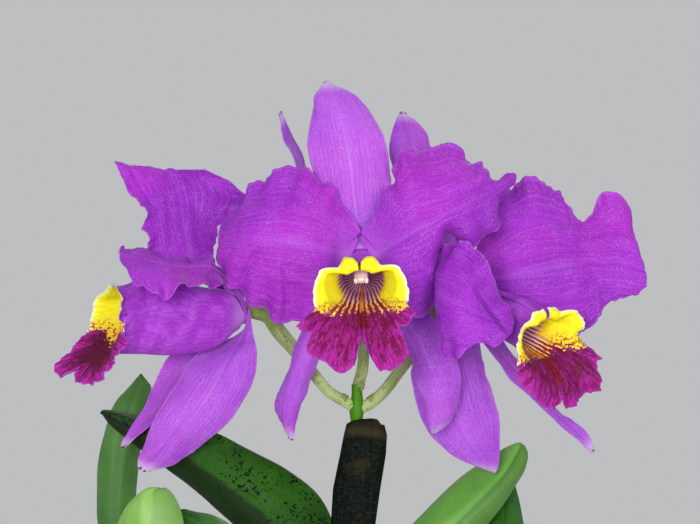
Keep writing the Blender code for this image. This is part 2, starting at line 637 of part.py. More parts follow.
def lip_grid(name, bloom, along, flare):
    """A trumpet open along its top: a tube round the column, rolled side lobes and a long front lobe."""
    right, up, axis = lip_axes(bloom)
    tube = LIP_TUBES[name]
    stations, reach, turn_end = (np.array(c, float) for c in zip(*LIP_MARGINS[name]))
    drawn_in = bloom["lip"]["pinch"] * soft_step(np.abs(stations), *PINCH_ROUND)
    mouth = tube[-1][0]
    rows = []
    for ahead, width, height, drop, close in spline(tube, even_steps([(k[0], 0, 0) for k in tube], along + 1)):
        angle = np.radians(stations * close / stations[-1])[:, None]
        ring = np.sin(angle) * right * width - np.cos(angle) * up * height
        pinch = 1 - drawn_in * soft_step(ahead / mouth, *PINCH_ALONG)
        rows.append(ahead * axis - drop * up + ring * pinch[:, None])
    angle = np.radians(stations * tube[-1][-1] / stations[-1])
    radial = np.sin(angle)[:, None] * right - np.cos(angle)[:, None] * up
    turn_end = np.radians(turn_end)
    turn_start = np.minimum(math.radians(TURN_START), turn_end)
    point = rows[-1]
    for k in range(flare):
        t = (k + 0.5) / flare
        turn = (turn_start + (turn_end - turn_start) * min(1.0, TURN_SPEED * t))[:, None]
        point = point + (np.cos(turn) * axis + np.sin(turn) * radial) * (reach / flare)[:, None]
        ruffle = LIP_WAVE * t ** 2 * np.sin(LIP_WAVES * angle) * np.clip(reach / 12, 0.2, 1)
        rows.append(point + axis * ruffle[:, None])
    return np.array(bloom["centre"], float) + np.array(rows)


def make_column(name, bloom):
    right, up, axis = lip_axes(bloom)
    forward = unit(bloom["facing"])
    centre = np.array(bloom["centre"], float)
    path = [centre + forward * min(a, COLUMN_NECK) + axis * max(a - COLUMN_NECK, 0) + up * h
            for a, h, r in COLUMN]
    return loft(name, tube_rings(path, [r for a, h, r in COLUMN], COLUMN_SIDES), "column")


def make_bloom(name, bloom, number):
    for part in ("sepal_dorsal", "sepal_left", "sepal_right"):
        grid = tepal_grid(bloom, part, SEPAL_NET, number + len(part))
        add_blade(f"{name}_{part}", grid, TEPAL_THICK, "sepal")
    for part in ("petal_left", "petal_right"):
        grid = tepal_grid(bloom, part, PETAL_NET, number * 1.7 + len(part))
        add_blade(f"{name}_{part}", grid, TEPAL_THICK, "petal")
    add_blade(f"{name}_lip", lip_grid(name, bloom, LIP_ALONG, LIP_FLARE), LIP_THICK, "lip")
    make_column(f"{name}_column", bloom)


def knob(name, bloom):
    """The end of a pedicel, which the parts of the bloom grow from."""
    forward = unit(bloom["facing"])
    centre = np.array(bloom["centre"], float)
    angles = [math.radians(a) for a in KNOB_RINGS]
    path = [centre + forward * KNOB_RADIUS * math.sin(a) for a in angles]
    return loft(name, tube_rings(path, [KNOB_RADIUS * math.cos(a) for a in angles], 10), "stalk")


def make_stalk():
    """The stalk, its three pedicels with their swollen ovaries, and the knob that ends each."""
    trunk = smooth_path(TRUNK, TRUNK_RINGS)
    parts = [loft("trunk", tube_rings(trunk, [STALK_RADIUS] * TRUNK_RINGS, 10), "stalk")]
    along = np.linspace(0, 1, PEDICEL_RINGS)
    ovary = np.clip((along - OVARY_START) / (1 - OVARY_START), 0, 1)
    radii = PEDICEL_RADIUS + OVARY_SWELL * np.sin(math.pi * ovary)
    for name, knots in PEDICELS.items():
        bloom = BLOOMS[name]
        end = np.array(bloom["centre"], float) - unit(bloom["facing"]) * 1.5
        path = smooth_path([*knots, tuple(end)], PEDICEL_RINGS)
        parts.append(loft(name + "_pedicel", tube_rings(path, radii, 8), "stalk"))
        parts.append(knob(name + "_knob", bloom))
    union("flower_stalk", parts, "stalk")


def make_sheath():
    """A flattened papery pocket with the stalk standing in its plain hole."""
    line = smooth_path(TRUNK, 60)
    hole = STALK_RADIUS + SHEATH_CLEAR
    turns = [2 * math.pi * k / SHEATH_SIDES for k in range(SHEATH_SIDES)]
    outer, inner = [], []
    for t, middle, half, thick in SHEATH:
        z = SHEATH_FOOT + t * (SHEATH_TOP - SHEATH_FOOT)
        x, y = (float(np.interp(z, line[:, 2], line[:, k])) for k in (0, 1))
        outer.append([(middle + half * math.cos(a), y + thick * math.sin(a), z) for a in turns])
        inner.append([(x + hole * math.cos(a), y + hole * math.sin(a), z) for a in turns])
    rings = outer + inner[::-1]
    points = [p for ring in rings for p in ring]
    count, total = SHEATH_SIDES, len(rings) * SHEATH_SIDES
    faces = []
    for k in range(total):
        a, b = k, k + 1 if (k + 1) % count else k + 1 - count
        c, d = (b + count) % total, (a + count) % total
        faces += [(a, b, c), (a, c, d)]
    outward(add_mesh("sheath", points, faces, "sheath", 0.7))


def make_bulbs():
    """Club-shaped pseudobulbs, each leaning out from its foot on the rhizome."""
    turns = [2 * math.pi * k / BULB_SIDES for k in range(BULB_SIDES)]
    round_ring = np.array([(math.cos(a), math.sin(a), 0) for a in turns])
    for name, (foot, apex, fat) in BULBS.items():
        start = np.array((*foot, BULB_FOOT), float)
        end = np.array(apex, float)
        lean = (start - end) * (BULB_BOW, BULB_BOW, 0)
        middle = (start + end) / 2 + lean
        rings = []
        for t, swell in BULB_PROFILE:
            centre = (1 - t) ** 2 * start + 2 * t * (1 - t) * middle + t ** 2 * end
            rings.append(list(centre + fat * swell * round_ring))
        loft(name, rings, "bulb", 0.5)


def rhizome_line():
    """The rhizome's way over the bark, through the feet of the pseudobulbs and a little past."""
    feet = [np.array(BULBS[name][0], float) for name in RHIZOME_ORDER]
    first = feet[0] + (feet[0] - feet[1]) * RHIZOME_ENDS[0]
    last = feet[-1] + (feet[-1] - feet[-2]) * RHIZOME_ENDS[1]
    return [tuple(p) for p in (first, *feet, last)]


def make_rhizome():
    path = smooth_path([(x, y, RHIZOME_AXIS) for x, y in rhizome_line()], RHIZOME_RINGS)
    rings = tube_rings(path, [RHIZOME_RADIUS] * RHIZOME_RINGS, 8)
    parts = [loft("rhizome_body", rings, "rhizome")]
    low = BARK_TOP + GAP + ROOT_RADIUS
    taper = [ROOT_RADIUS] * (ROOT_RINGS - 2) + [ROOT_RADIUS * 0.9, ROOT_RADIUS * 0.5]
    for number, knots in enumerate(ROOTS):
        line = [(x, y, low) for x, y in knots]
        line[0] = (*knots[0], low + ROOT_CLIMB)
        path = smooth_path(line, ROOT_RINGS)
        parts.append(loft(f"root_{number}", tube_rings(path, taper, 6), "rhizome"))
    union("rhizome", parts, "rhizome", 0.7)


def pot_radius(z):
    top = POT_RIM_RADIUS - POT_RIM_PROUD
    return POT_FOOT_RADIUS + (top - POT_FOOT_RADIUS) * z / POT_HEIGHT


def make_pot():
    band = POT_HEIGHT - POT_RIM_BAND
    inside = pot_radius(POT_HEIGHT) - POT_WALL
    soft = POT_EDGE
    profile = [(0, 0), (POT_FOOT_RADIUS - soft, 0), (POT_FOOT_RADIUS, soft), (pot_radius(band), band),
               (pot_radius(band) + POT_RIM_PROUD, band + soft), (POT_RIM_RADIUS, POT_HEIGHT - soft),
               (POT_RIM_RADIUS - soft, POT_HEIGHT), (inside + soft, POT_HEIGHT),
               (inside, POT_HEIGHT - soft), (pot_radius(POT_FLOOR) - POT_WALL, POT_FLOOR), (0, POT_FLOOR)]
    pot = spin("pot", profile, POT_SIDES, "pot", 0.8)
    for k in range(DRAIN_COUNT):
        angle = math.radians(90 + 360 * k / DRAIN_COUNT)
        place = (DRAIN_RING * math.cos(angle) * MM, DRAIN_RING * math.sin(angle) * MM, 0)
        bpy.ops.mesh.primitive_cylinder_add(vertices=12, radius=DRAIN_RADIUS * MM,
                                            depth=3 * POT_FLOOR * MM, location=place)
        cutter = bpy.context.object
        cutter.name = f"drain_cutter_{k + 1}"
        cutter.hide_render = True
        cutter.display_type = "WIRE"
        cut = pot.modifiers.new(f"drain_{k + 1}", "BOOLEAN")
        cut.operation = "DIFFERENCE"
        cut.object = cutter


def near_lines(x, y, lines, reach):
    for line in lines:
        path = smooth_path(line, 40)
        if np.min(np.hypot(path[:, 0] - x, path[:, 1] - y)) < reach:
            return True
    return False


def chip_corners(x, y, draw):
    """The eight corners of one rough chip of bark, lying at a slant in the surface."""
    long, wide, deep = (draw.uniform(*limits) for limits in CHIP_HALF)
    turn = draw.uniform(0, math.pi)
    tilt, roll = (math.sin(draw.uniform(-CHIP_TILT, CHIP_TILT)) for k in range(2))
    corners = []
    for sz in (-1, 1):
        for sx, sy in ((-1, -1), (1, -1), (1, 1), (-1, 1)):
            px, py = sx * long * draw.uniform(0.8, 1), sy * wide * draw.uniform(0.8, 1)
            corners.append((x + px * math.cos(turn) - py * math.sin(turn),
                            y + px * math.sin(turn) + py * math.cos(turn),
                            BARK_TOP + 0.5 + sz * deep + px * tilt + py * roll))
    return corners


def make_bark():
    """Chips of bark that fill the pot, the top ones standing out of the rest."""
    clear = POT_WALL + GAP + 0.2
    foot = POT_FLOOR + GAP
    rim = pot_radius(BARK_TOP) - clear
    profile = [(0, foot), (pot_radius(foot) - clear, foot), (rim, BARK_TOP), (0, BARK_TOP)]
    parts = [spin("bark_core", profile, 24, "bark", 0.9)]
    box = [(3, 2, 1, 0), (4, 5, 6, 7)] + [(k, (k + 1) % 4, 4 + (k + 1) % 4, 4 + k) for k in range(4)]
    runner = rhizome_line()
    draw = random.Random(CHIP_SEED)
    placed = []
    for attempt in range(CHIP_TRIES):
        if len(placed) == CHIP_COUNT:
            break
        reach = math.sqrt(draw.random()) * (rim - CHIP_EDGE)
        turn = draw.uniform(0, 2 * math.pi)
        x, y = reach * math.cos(turn), reach * math.sin(turn)
        if near_lines(x, y, [runner], CHIP_OFF_RHIZOME) or near_lines(x, y, ROOTS, CHIP_OFF_ROOT):
            continue
        if any(math.hypot(x - a, y - b) < CHIP_APART for a, b in placed):
            continue
        placed.append((x, y))
        name = f"chip_{len(placed)}"
        parts.append(add_mesh(name, chip_corners(x, y, draw), box, "bark", smooth=False))
        outward(parts[-1])
    union("bark_medium", parts, "bark", 0.9)


def make_leaves():
    for name, rows in LEAVES.items():
        add_blade(name, blade_grid(rows, **LEAF_NET), LEAF_THICK, "leaf")


def main():
    clear_scene()
    make_pot()
    make_rhizome()
    make_bark()
    make_bulbs()
    make_leaves()
    make_sheath()
    make_stalk()
    for number, (name, bloom) in enumerate(BLOOMS.items()):
        make_bloom(name, bloom, number)


main()
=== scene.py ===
"""Cattleya orchid in flower, in a plain clay pot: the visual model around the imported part.

Lengths in the tables are millimetres, and the scene is in metres. +Z is up, and the plant's front faces -Y.
A bloom's own points are measured from its centre, the middle of the knob that its parts grow from. A blade
is given by rows from its claw to its tip, and each row by one edge, the midrib and the other edge.
"""

import math

import bmesh
import bpy
import numpy as np
from mathutils import Matrix, Vector


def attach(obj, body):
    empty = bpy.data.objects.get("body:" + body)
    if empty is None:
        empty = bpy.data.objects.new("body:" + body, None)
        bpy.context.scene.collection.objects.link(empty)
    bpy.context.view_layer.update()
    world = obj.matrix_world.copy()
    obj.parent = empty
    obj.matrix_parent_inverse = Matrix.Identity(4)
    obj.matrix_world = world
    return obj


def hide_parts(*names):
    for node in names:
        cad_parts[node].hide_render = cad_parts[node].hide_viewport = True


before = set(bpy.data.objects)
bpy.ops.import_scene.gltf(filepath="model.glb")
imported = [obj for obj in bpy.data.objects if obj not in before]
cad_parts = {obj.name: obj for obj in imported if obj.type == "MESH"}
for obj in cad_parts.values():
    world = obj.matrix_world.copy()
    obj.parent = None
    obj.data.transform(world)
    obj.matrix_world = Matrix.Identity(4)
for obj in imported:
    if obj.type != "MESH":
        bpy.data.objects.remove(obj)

MM = 0.001
GAP = 0.3

# Pot and what fills it
POT_HEIGHT = 115.0
POT_RIM_RADIUS = 76.0
POT_FOOT_RADIUS = 54.0
POT_WALL = 5.0
POT_FLOOR = 8.0
POT_RIM_BAND = 18.0
POT_RIM_PROUD = 3.0
POT_EDGE = 2.0
DRAIN_COUNT = 3
DRAIN_RADIUS = 5.0
DRAIN_RING = 30.0
BARK_TOP = 103.0

# Rhizome, roots and pseudobulbs
RHIZOME_RADIUS = 5.0
ROOT_RADIUS = 2.0
RHIZOME_AXIS = BARK_TOP + GAP + RHIZOME_RADIUS
BULB_FOOT = RHIZOME_AXIS + RHIZOME_RADIUS + GAP

# Blades
TEPAL_THICK = 0.9
LIP_THICK = 0.9
LEAF_THICK = 2.0
KNOB_RADIUS = 4.8
CLAW = [(KNOB_RADIUS + 0.4, 6.0), (KNOB_RADIUS + 2.9, 9.5)]
KNOB_RINGS = (-60, -25, 0, 30, 62)
KNOB_FRONT = KNOB_RADIUS * math.sin(math.radians(KNOB_RINGS[-1]))

# Flower stalk and its sheath
STALK_RADIUS = 3.1
PEDICEL_RADIUS = 2.9
SHEATH_FOOT = 240.0
SHEATH_TOP = 334.0
TRUNK = [(-2, 20, SHEATH_FOOT), (-1, 20, 270), (1.5, 20, 305), (3, 20, 335), (3.2, 20, 349)]
OVARY_START = 0.45
OVARY_SWELL = 0.8

# name: foot on the rhizome (x, y), apex (x, y, z), radius at the fattest place
BULBS = {
    "pseudobulb_1": ((8, 20), (-1, 20, 239.7), 11.5),
    "pseudobulb_2": ((-20, 32), (-14, 46, 226), 11.0),
    "pseudobulb_3": ((-47, 8), (-80, 24, 212), 10.5),
    "pseudobulb_4": ((-46, -26), (-66, -44, 184), 10.0),
    "pseudobulb_5": ((-18, -44), (-34, -60, 176), 9.5),
    "pseudobulb_6": ((38, 8), (58, 20, 196), 10.5),
}

BULB_PROFILE = [(0.0, 0.55), (0.06, 0.62), (0.2, 0.66), (0.4, 0.88), (0.6, 1.0), (0.8, 0.90), (0.93, 0.66),
                (1.0, 0.5)]
BULB_BOW = 0.12
RHIZOME_ORDER = ("pseudobulb_5", "pseudobulb_4", "pseudobulb_3", "pseudobulb_2", "pseudobulb_1",
                 "pseudobulb_6")
RHIZOME_ENDS = (0.35, 0.6)

# Roots over the bark, from the rhizome outwards (x, y)
ROOTS = [
    [(-18, -44), (-2, -50), (14, -48), (30, -42)],
    [(-47, 8), (-54, -2), (-58, -14), (-54, -26)],
    [(-20, 32), (-32, 42), (-40, 46), (-48, 38)],
    [(8, 20), (4, 4), (10, -12), (4, -26), (-8, -34)],
    [(8, 20), (18, 36), (14, 50), (-2, 58)],
    [(38, 8), (34, -8), (42, -20), (38, -34)],
    [(38, 8), (50, 20), (48, 36), (36, 48)],
]
ROOT_CLIMB = 1.5

# Leaf blades in the plant's own millimetres, one for each pseudobulb
LEAVES = {
    "leaf_1": [
        ((2.5, 27.6, 236.5), (5, 25.1, 236.5), (7.6, 22.2, 236.5)),
        ((9, 36, 252), (17, 30, 250), (24, 34, 244)),
        ((26, 46, 277), (36, 35, 271), (48, 42, 264)),
        ((47, 51, 299), (57, 38, 291), (68, 44, 287)),
        ((64, 53, 311), (72, 43, 306), (79, 47, 302)),
        ((75, 51, 318), (79, 47, 317), (83, 48, 312)),
        ((80, 50, 320), (81, 49.5, 320), (82.5, 49.5, 318)),
    ],
    "leaf_2": [
        ((-16.5, 46, 226.8), (-14, 45, 226.8), (-11.5, 46, 226.8)),
        ((-26, 46, 243), (-14, 40, 248), (-1, 48, 254)),
        ((-47, 42, 274), (-32, 34, 283), (-14, 46, 294)),
        ((-66, 40, 294), (-56, 32, 303), (-43, 42, 315)),
        ((-88, 33, 312), (-80, 27, 320), (-72, 35, 329)),
        ((-106, 30, 326), (-103, 26, 330), (-100, 32, 334)),
        ((-115, 28, 335), (-115, 27, 336), (-114, 29, 337)),
    ],
    "leaf_3": [
        ((-82.5, 24, 212.6), (-80, 23, 212.6), (-77.5, 24, 212.6)),
        ((-103, 28, 240), (-90, 22, 238), (-79, 30, 234)),
        ((-117, 44, 278), (-108, 38, 279), (-99, 46, 276)),
        ((-118, 52, 310), (-109, 46, 311), (-100, 54, 310)),
        ((-113, 56, 334), (-104, 51, 336), (-95, 57, 334)),
        ((-103, 57, 347), (-99, 56, 349), (-94, 57, 345)),
        ((-100, 57, 351), (-99, 56.5, 352), (-98, 57, 351)),
    ],
    "leaf_4": [
        ((-68.5, -44, 184.6), (-66, -45, 184.6), (-63.5, -44, 184.6)),
        ((-86, -40, 208), (-74, -46, 210), (-62, -40, 208)),
        ((-101, -34, 245), (-86, -42, 248), (-71, -34, 246)),
        ((-105, -30, 276), (-89, -38, 278), (-71, -32, 278)),
        ((-100, -30, 294), (-87, -36, 297), (-74, -30, 295)),
        ((-93, -30, 303), (-86, -34, 305), (-78, -30, 304)),
        ((-84, -30, 306), (-82, -31, 306.5), (-80, -30, 306)),
    ],
    "leaf_5": [
        ((-36.5, -60, 176.6), (-34, -61, 176.6), (-31.5, -60, 176.6)),
        ((-51, -62, 200), (-40, -68, 203), (-29, -62, 205)),
        ((-59, -56, 234), (-48, -62, 238), (-35, -54, 240)),
        ((-65, -38, 262), (-55, -44, 267), (-42, -36, 270)),
        ((-72, -22, 283), (-63, -26, 288), (-52, -22, 288)),
        ((-77, -19, 292), (-73, -19, 294), (-68, -19, 294.5)),
        ((-78, -18, 295), (-77.5, -18, 295.5), (-76.5, -18, 295.5)),
    ],
    "leaf_6": [
        ((55.5, 20, 196.6), (58, 19, 196.6), (60.5, 20, 196.6)),
        ((50, 30, 222), (62, 20, 222), (74, 26, 216)),
        ((54, 48, 252), (68, 38, 252), (82, 44, 246)),
        ((59, 62, 280), (72, 54, 280), (83, 58, 275)),
        ((67, 68, 298), (73, 65, 299), (79, 66, 296)),
        ((74, 70, 307), (75, 69, 308), (77, 70, 307)),
    ],
}

# The line that each pedicel follows, from inside the stalk to the back of its bloom
PEDICELS = {
    "bloom_centre": [(3, 20, 346), (6, 24, 358), (6, 31, 374), (5, 32, 390), (5, 22, 402), (5, 8, 405)],
    "bloom_left": [(3.2, 20, 338), (-3, 20, 341.5), (-10, 21, 346), (-17, 24, 354), (-26, 30, 365),
                   (-33, 33, 373), (-38, 30, 380), (-44, 25, 382)],
    "bloom_right": [(3.2, 20, 337.5), (9, 21, 340), (16, 24, 346), (23, 28, 355), (31, 34, 365),
                    (38, 40, 376), (41, 41, 388), (44, 34, 395)],
}

# Each bloom: centre, the way it faces, the way its dorsal sepal points, and its blades
BLOOMS = {
    "bloom_centre": {
        "centre": (5, 0, 405), "facing": (0, -1, 0), "up": (-0.05, 0, 1),
        "lip": {"axis": (-0.02, -1.0, 0.0), "pinch": 0.5},
        "sepal_dorsal": [
            ((-8, 5, 11), (-1, 4, 13), (7, 5, 11)),
            ((-16, 8, 26), (-3, 5, 28), (12, 8, 27)),
            ((-23, 10, 45), (-5, 7, 46), (13, 11, 45)),
            ((-24, 13, 61), (-9, 9, 64), (8, 14, 62)),
            ((-21, 16, 74), (-13, 13, 76), (-1, 17, 75)),
            ((-18, 17, 81), (-16, 17, 83), (-15, 17, 82)),
        ],
        "petal_left": [
            ((-9, -1, -3), (-10, -3, 5), (-0.6, -1.6, 14.5)),
            ((-19, -2, -24), (-16, -8, 6), (-9, 0, 28)),
            ((-35, 2, -27), (-28, -10, 9), (-19, 2, 38)),
            ((-47, 4, -20), (-41, -8, 10), (-32, 6, 44)),
            ((-56, 6, -14), (-52, -4, 11), (-45, 8, 37)),
            ((-61, 8, -7), (-60, 2, 10), (-54, 10, 29)),
            ((-65, 8, 2), (-65, 6, 7), (-64, 10, 16)),
        ],
        "petal_right": [
            ((0.4, -2.2, 14), (9, -3, 5), (9, -1, -3)),
            ((9, 1, 26), (16, -9, 9), (18, -2, -24)),
            ((14, 4, 42), (25, -12, 14), (35, 7, -19)),
            ((20, 8, 51), (32, -12, 17), (33, 12, 0)),
            ((31, 8, 52), (38, -12, 21), (36, 12, 14)),
            ((43, 8, 51), (45, -12, 24), (50, -4, 8)),
            ((52, 6, 45), (54, -8, 29), (59, -2, 14)),
            ((60, 2, 38), (63, -4, 34), (63, 2, 28)),
            ((69, 0, 40), (70, 0, 38), (69, 0, 35)),
        ],
        "sepal_left": [
            ((-7, 6, -15), (-10, 4, -13), (-14, 8, -10)),
            ((-14, 8, -31), (-18, 4, -27), (-24, 10, -25)),
            ((-19, 9, -45), (-25, 3, -41), (-30, 10, -40)),
            ((-24, 9, -57), (-30, 4, -53), (-35, 12, -53)),
            ((-28, 9, -68), (-33, 5, -66), (-39, 12, -66)),
            ((-30, 9, -77), (-34, 8, -75), (-36, 11, -75)),
            ((-31, 10, -81), (-32, 10, -81), (-33, 10, -80)),
        ],
        "sepal_right": [
            ((11, 6, -10), (8, 4, -14), (5, 6, -16)),
            ((23, 12, -17), (17, 8, -24), (12, 11, -27)),
            ((34, 12, -27), (25, 5, -33), (18, 9, -34)),
            ((42, 6, -41), (31, 1, -46), (23, 6, -44)),
            ((45, 6, -54), (35, 2, -59), (26, 6, -57)),
            ((44, 6, -65), (36, 4, -69), (29, 6, -69)),
            ((39, 8, -73), (34, 6, -75), (31, 7, -76)),
            ((34, 9, -78), (33, 9, -79), (32, 9, -78)),
        ],
    },
    "bloom_left": {
        "centre": (-49.6, 22, 382.5), "facing": (-0.9, -0.43, -0.05), "up": (0.05, 0.05, 1),
        "lip": {"axis": (-0.90, -0.43, 0.02), "pinch": 0.2},
        "sepal_dorsal": [
            ((9, 18, 18), (12, 8, 19), (11, -2, 18)),
            ((19, 28, 37), (23, 14, 37), (22, 1, 36)),
            ((24, 32, 54), (28, 18, 56), (27, 4, 55)),
            ((24, 32, 71), (27, 20, 70), (24, 8, 69)),
            ((19, 28, 82), (22, 20, 81), (19, 12, 80)),
            ((16, 21, 92), (17, 20, 93), (17, 19, 92)),
        ],
        "petal_left": [
            ((-13, 4, 11), (-12, 5, 14), (-11, 6, 18)),
            ((-36, 0, 18), (-23, 6, 22), (-14, 9, 24)),
            ((-43, -3, 28), (-26, 8, 33), (-13, 10, 33)),
            ((-43, -2, 38), (-28, 10, 43), (-7, 10, 41)),
            ((-46, 2, 49), (-30, 12, 54), (3, 14, 49)),
            ((-53, 4, 57), (-33, 14, 62), (-4, 16, 58)),
            ((-59, 6, 69), (-37, 16, 66), (-18, 18, 66)),
        ],
        "petal_right": [
            ((-8, -2, 19), (-7, -8, 14), (-6, -14, 11)),
            ((-13, -8, 23), (-14, -20, 20), (-13, -32, 11)),
            ((-24, -10, 22), (-25, -28, 20), (-22, -44, 12)),
            ((-37, -14, 25), (-36, -34, 22), (-33, -50, 7)),
            ((-46, -20, 28), (-46, -36, 24), (-43, -50, 13)),
            ((-52, -30, 30), (-53, -38, 26), (-49, -46, 19)),
        ],
        "sepal_right": [
            ((5, -5, -9), (0, -2, -12.5), (-5, 3.5, -12.5)),
            ((7, -7, -19), (-6, -8, -22), (-17, 2, -17)),
            ((5, -7, -33), (-13, -12, -35), (-27, -3, -28)),
            ((-3, -7, -46), (-20, -14, -46), (-35, -8, -41)),
            ((-16, -8, -60), (-30, -14, -57), (-42, -10, -55)),
            ((-30, -9, -69), (-39, -12, -67), (-46, -10, -65)),
            ((-43, -10, -73), (-46, -10, -72), (-47, -10, -70)),
        ],
        "sepal_left": [
            ((-10, 8, -15), (-13, 10, -13), (-17, 13, -10)),
            ((-19, 9, -28), (-26, 11, -25), (-34, 12, -21)),
            ((-31, 4, -39), (-36, 7, -37), (-41, 8, -34)),
            ((-38, -1, -48), (-41, 2, -47), (-45, 3, -44)),
            ((-45, -4, -54), (-48, -2, -54), (-51, -1, -53)),
            ((-51, -6, -60), (-53, -5, -60), (-54, -5, -59)),
            ((-53, -6, -62), (-54, -6, -62), (-55, -6, -61)),
        ],
    },
    "bloom_right": {
        "centre": (48.3, 25, 393), "facing": (0.64, -0.73, -0.245), "up": (-0.1, -0.2, 1),
        "lip": {"axis": (0.65, -0.71, -0.22), "pinch": 0.45},
        "sepal_dorsal": [
            ((-9, 1, 15), (-4, 3, 18), (3, 11, 17)),
            ((-17, 5, 34), (-8, 7, 35), (3, 17, 34)),
            ((-26, 9, 50), (-13, 12, 51), (-2, 23, 50)),
            ((-30, 13, 64), (-18, 17, 64), (-9, 25, 64)),
            ((-28, 19, 75), (-22, 21, 76), (-15, 26, 76)),
            ((-25, 25, 82), (-24, 25, 83), (-22, 25, 82)),
        ],
        "petal_right": [
            ((9, 1, 13), (10, -1, 4), (9, 1, -5)),
            ((12, 5, 27), (17, -3, 5), (16, 1, -13)),
            ((19, 8, 40), (27, -8, 6), (30, 2, -18)),
            ((32, 12, 50), (41, -7, 9), (52, 2, -24)),
            ((49, 14, 46), (55, -3, 11), (62, 2, -19)),
            ((52, 12, 37), (60, -1, 12), (66, 2, -14)),
            ((60, 10, 31), (65, 0, 12), (68, 2, -10)),
            ((69, 10, 44), (75, 2, 12), (75, 2, -5)),
            ((81, 12, 39), (83, 2, 10), (83, 2, -4)),
            ((84, 10, 20), (88, 2, 8), (88, 2, 0)),
        ],
        "petal_left": [
            ((0, -9, 9), (-1, -9, 2), (0, -9, -6)),
            ((-6, -20, 17), (-8, -23, 2), (-6, -22, -13)),
            ((-1, -30, 21), (-10, -35, -1), (-6, -35, -23)),
            ((9, -36, 18), (-3, -46, -5), (-3, -46, -32)),
            ((15, -44, 6), (7, -51, -10), (6, -52, -24)),
            ((18, -52, -7), (16, -55, -14), (15, -54, -25)),
            ((23, -54, -13), (23, -55, -17), (22, -54, -21)),
        ],
        "sepal_left": [
            ((5, 2, -11), (-2, 2, -13), (-8, 1, -12)),
            ((11, 3, -26), (-4, -4, -26), (-16, 0, -26)),
            ((15, 3, -40), (-3, -6, -40), (-20, -2, -40)),
            ((19, 3, -54), (0, -5, -54), (-18, -1, -52)),
            ((21, 5, -66), (4, -1, -65), (-12, 1, -66)),
            ((21, 7, -75), (10, 3, -75), (-3, 3, -76)),
            ((20, 9, -83), (14, 6, -82), (7, 5, -81)),
            ((19, 9, -86), (18, 9, -86), (16, 9, -85)),
        ],
        "sepal_right": [
            ((11, 7, -11), (9, 5, -13), (6, 5, -15)),
            ((22, 13, -24), (19, 9, -27), (16, 5, -29)),
            ((35, 19, -40), (32, 15, -42), (29, 9, -45)),
            ((47, 23, -55), (45, 20, -56), (43, 17, -58)),
            ((58, 25, -64), (56, 23, -66), (54, 21, -68)),
            ((64, 25, -70), (63, 24, -72), (61, 23, -74)),
            ((67, 25, -76), (66, 25, -78), (64, 25, -77)),
        ],
    },
}

# Where each blade's claw meets the knob, in degrees round it, and how far ahead of the middle
CLAWS = {
    "sepal_dorsal": (90, 0.0), "sepal_left": (210, 0.0), "sepal_right": (330, 0.0),
    "petal_left": (150, 1.6), "petal_right": (30, 1.6),
}

# The height and number of the slow waves in the margins, as in the part's own source
SEPAL_NET = {"wave": 0.6, "waves": 3}
PETAL_NET = {"wave": 1.8, "waves": 5}
LEAF_NET = {"wave": 0.0, "waves": 0}

# Lip tubes: distance forward, half width, half height, drop, how far round they close (degrees)
LIP_TUBES = {
    "bloom_centre": [(0, 5.5, 5.6, 0, 22), (4, 5.8, 6.2, 0.8, 60), (9, 6.6, 7.0, 3.0, 120),
                     (16, 8.0, 8.2, 5.4, 160), (28, 9.2, 9.0, 6.8, 168), (40, 11.0, 10.2, 8.2, 172),
                     (50, 15.5, 12.5, 9.5, 176)],
    "bloom_left": [(0, 5.4, 5.4, 0, 60), (5, 6.2, 9.4, 0.6, 130), (11, 7.4, 12.4, 2.6, 166),
                   (20, 8.0, 14.0, 4.4, 160), (35, 9.2, 16.0, 3.6, 168), (50, 11.0, 16.5, 3.0, 172),
                   (62, 15.5, 16.5, 3.0, 174)],
    "bloom_right": [(0, 5.5, 5.7, 0, 22), (4.6, 5.8, 6.3, 0.7, 60), (10.4, 6.5, 7.5, 2.4, 120),
                    (18.6, 8.0, 9.2, 4.4, 160), (32.5, 9.2, 9.6, 5.4, 168), (46, 11.0, 10.6, 6.2, 172),
                    (58, 15.5, 12.5, 7.0, 175)],
}
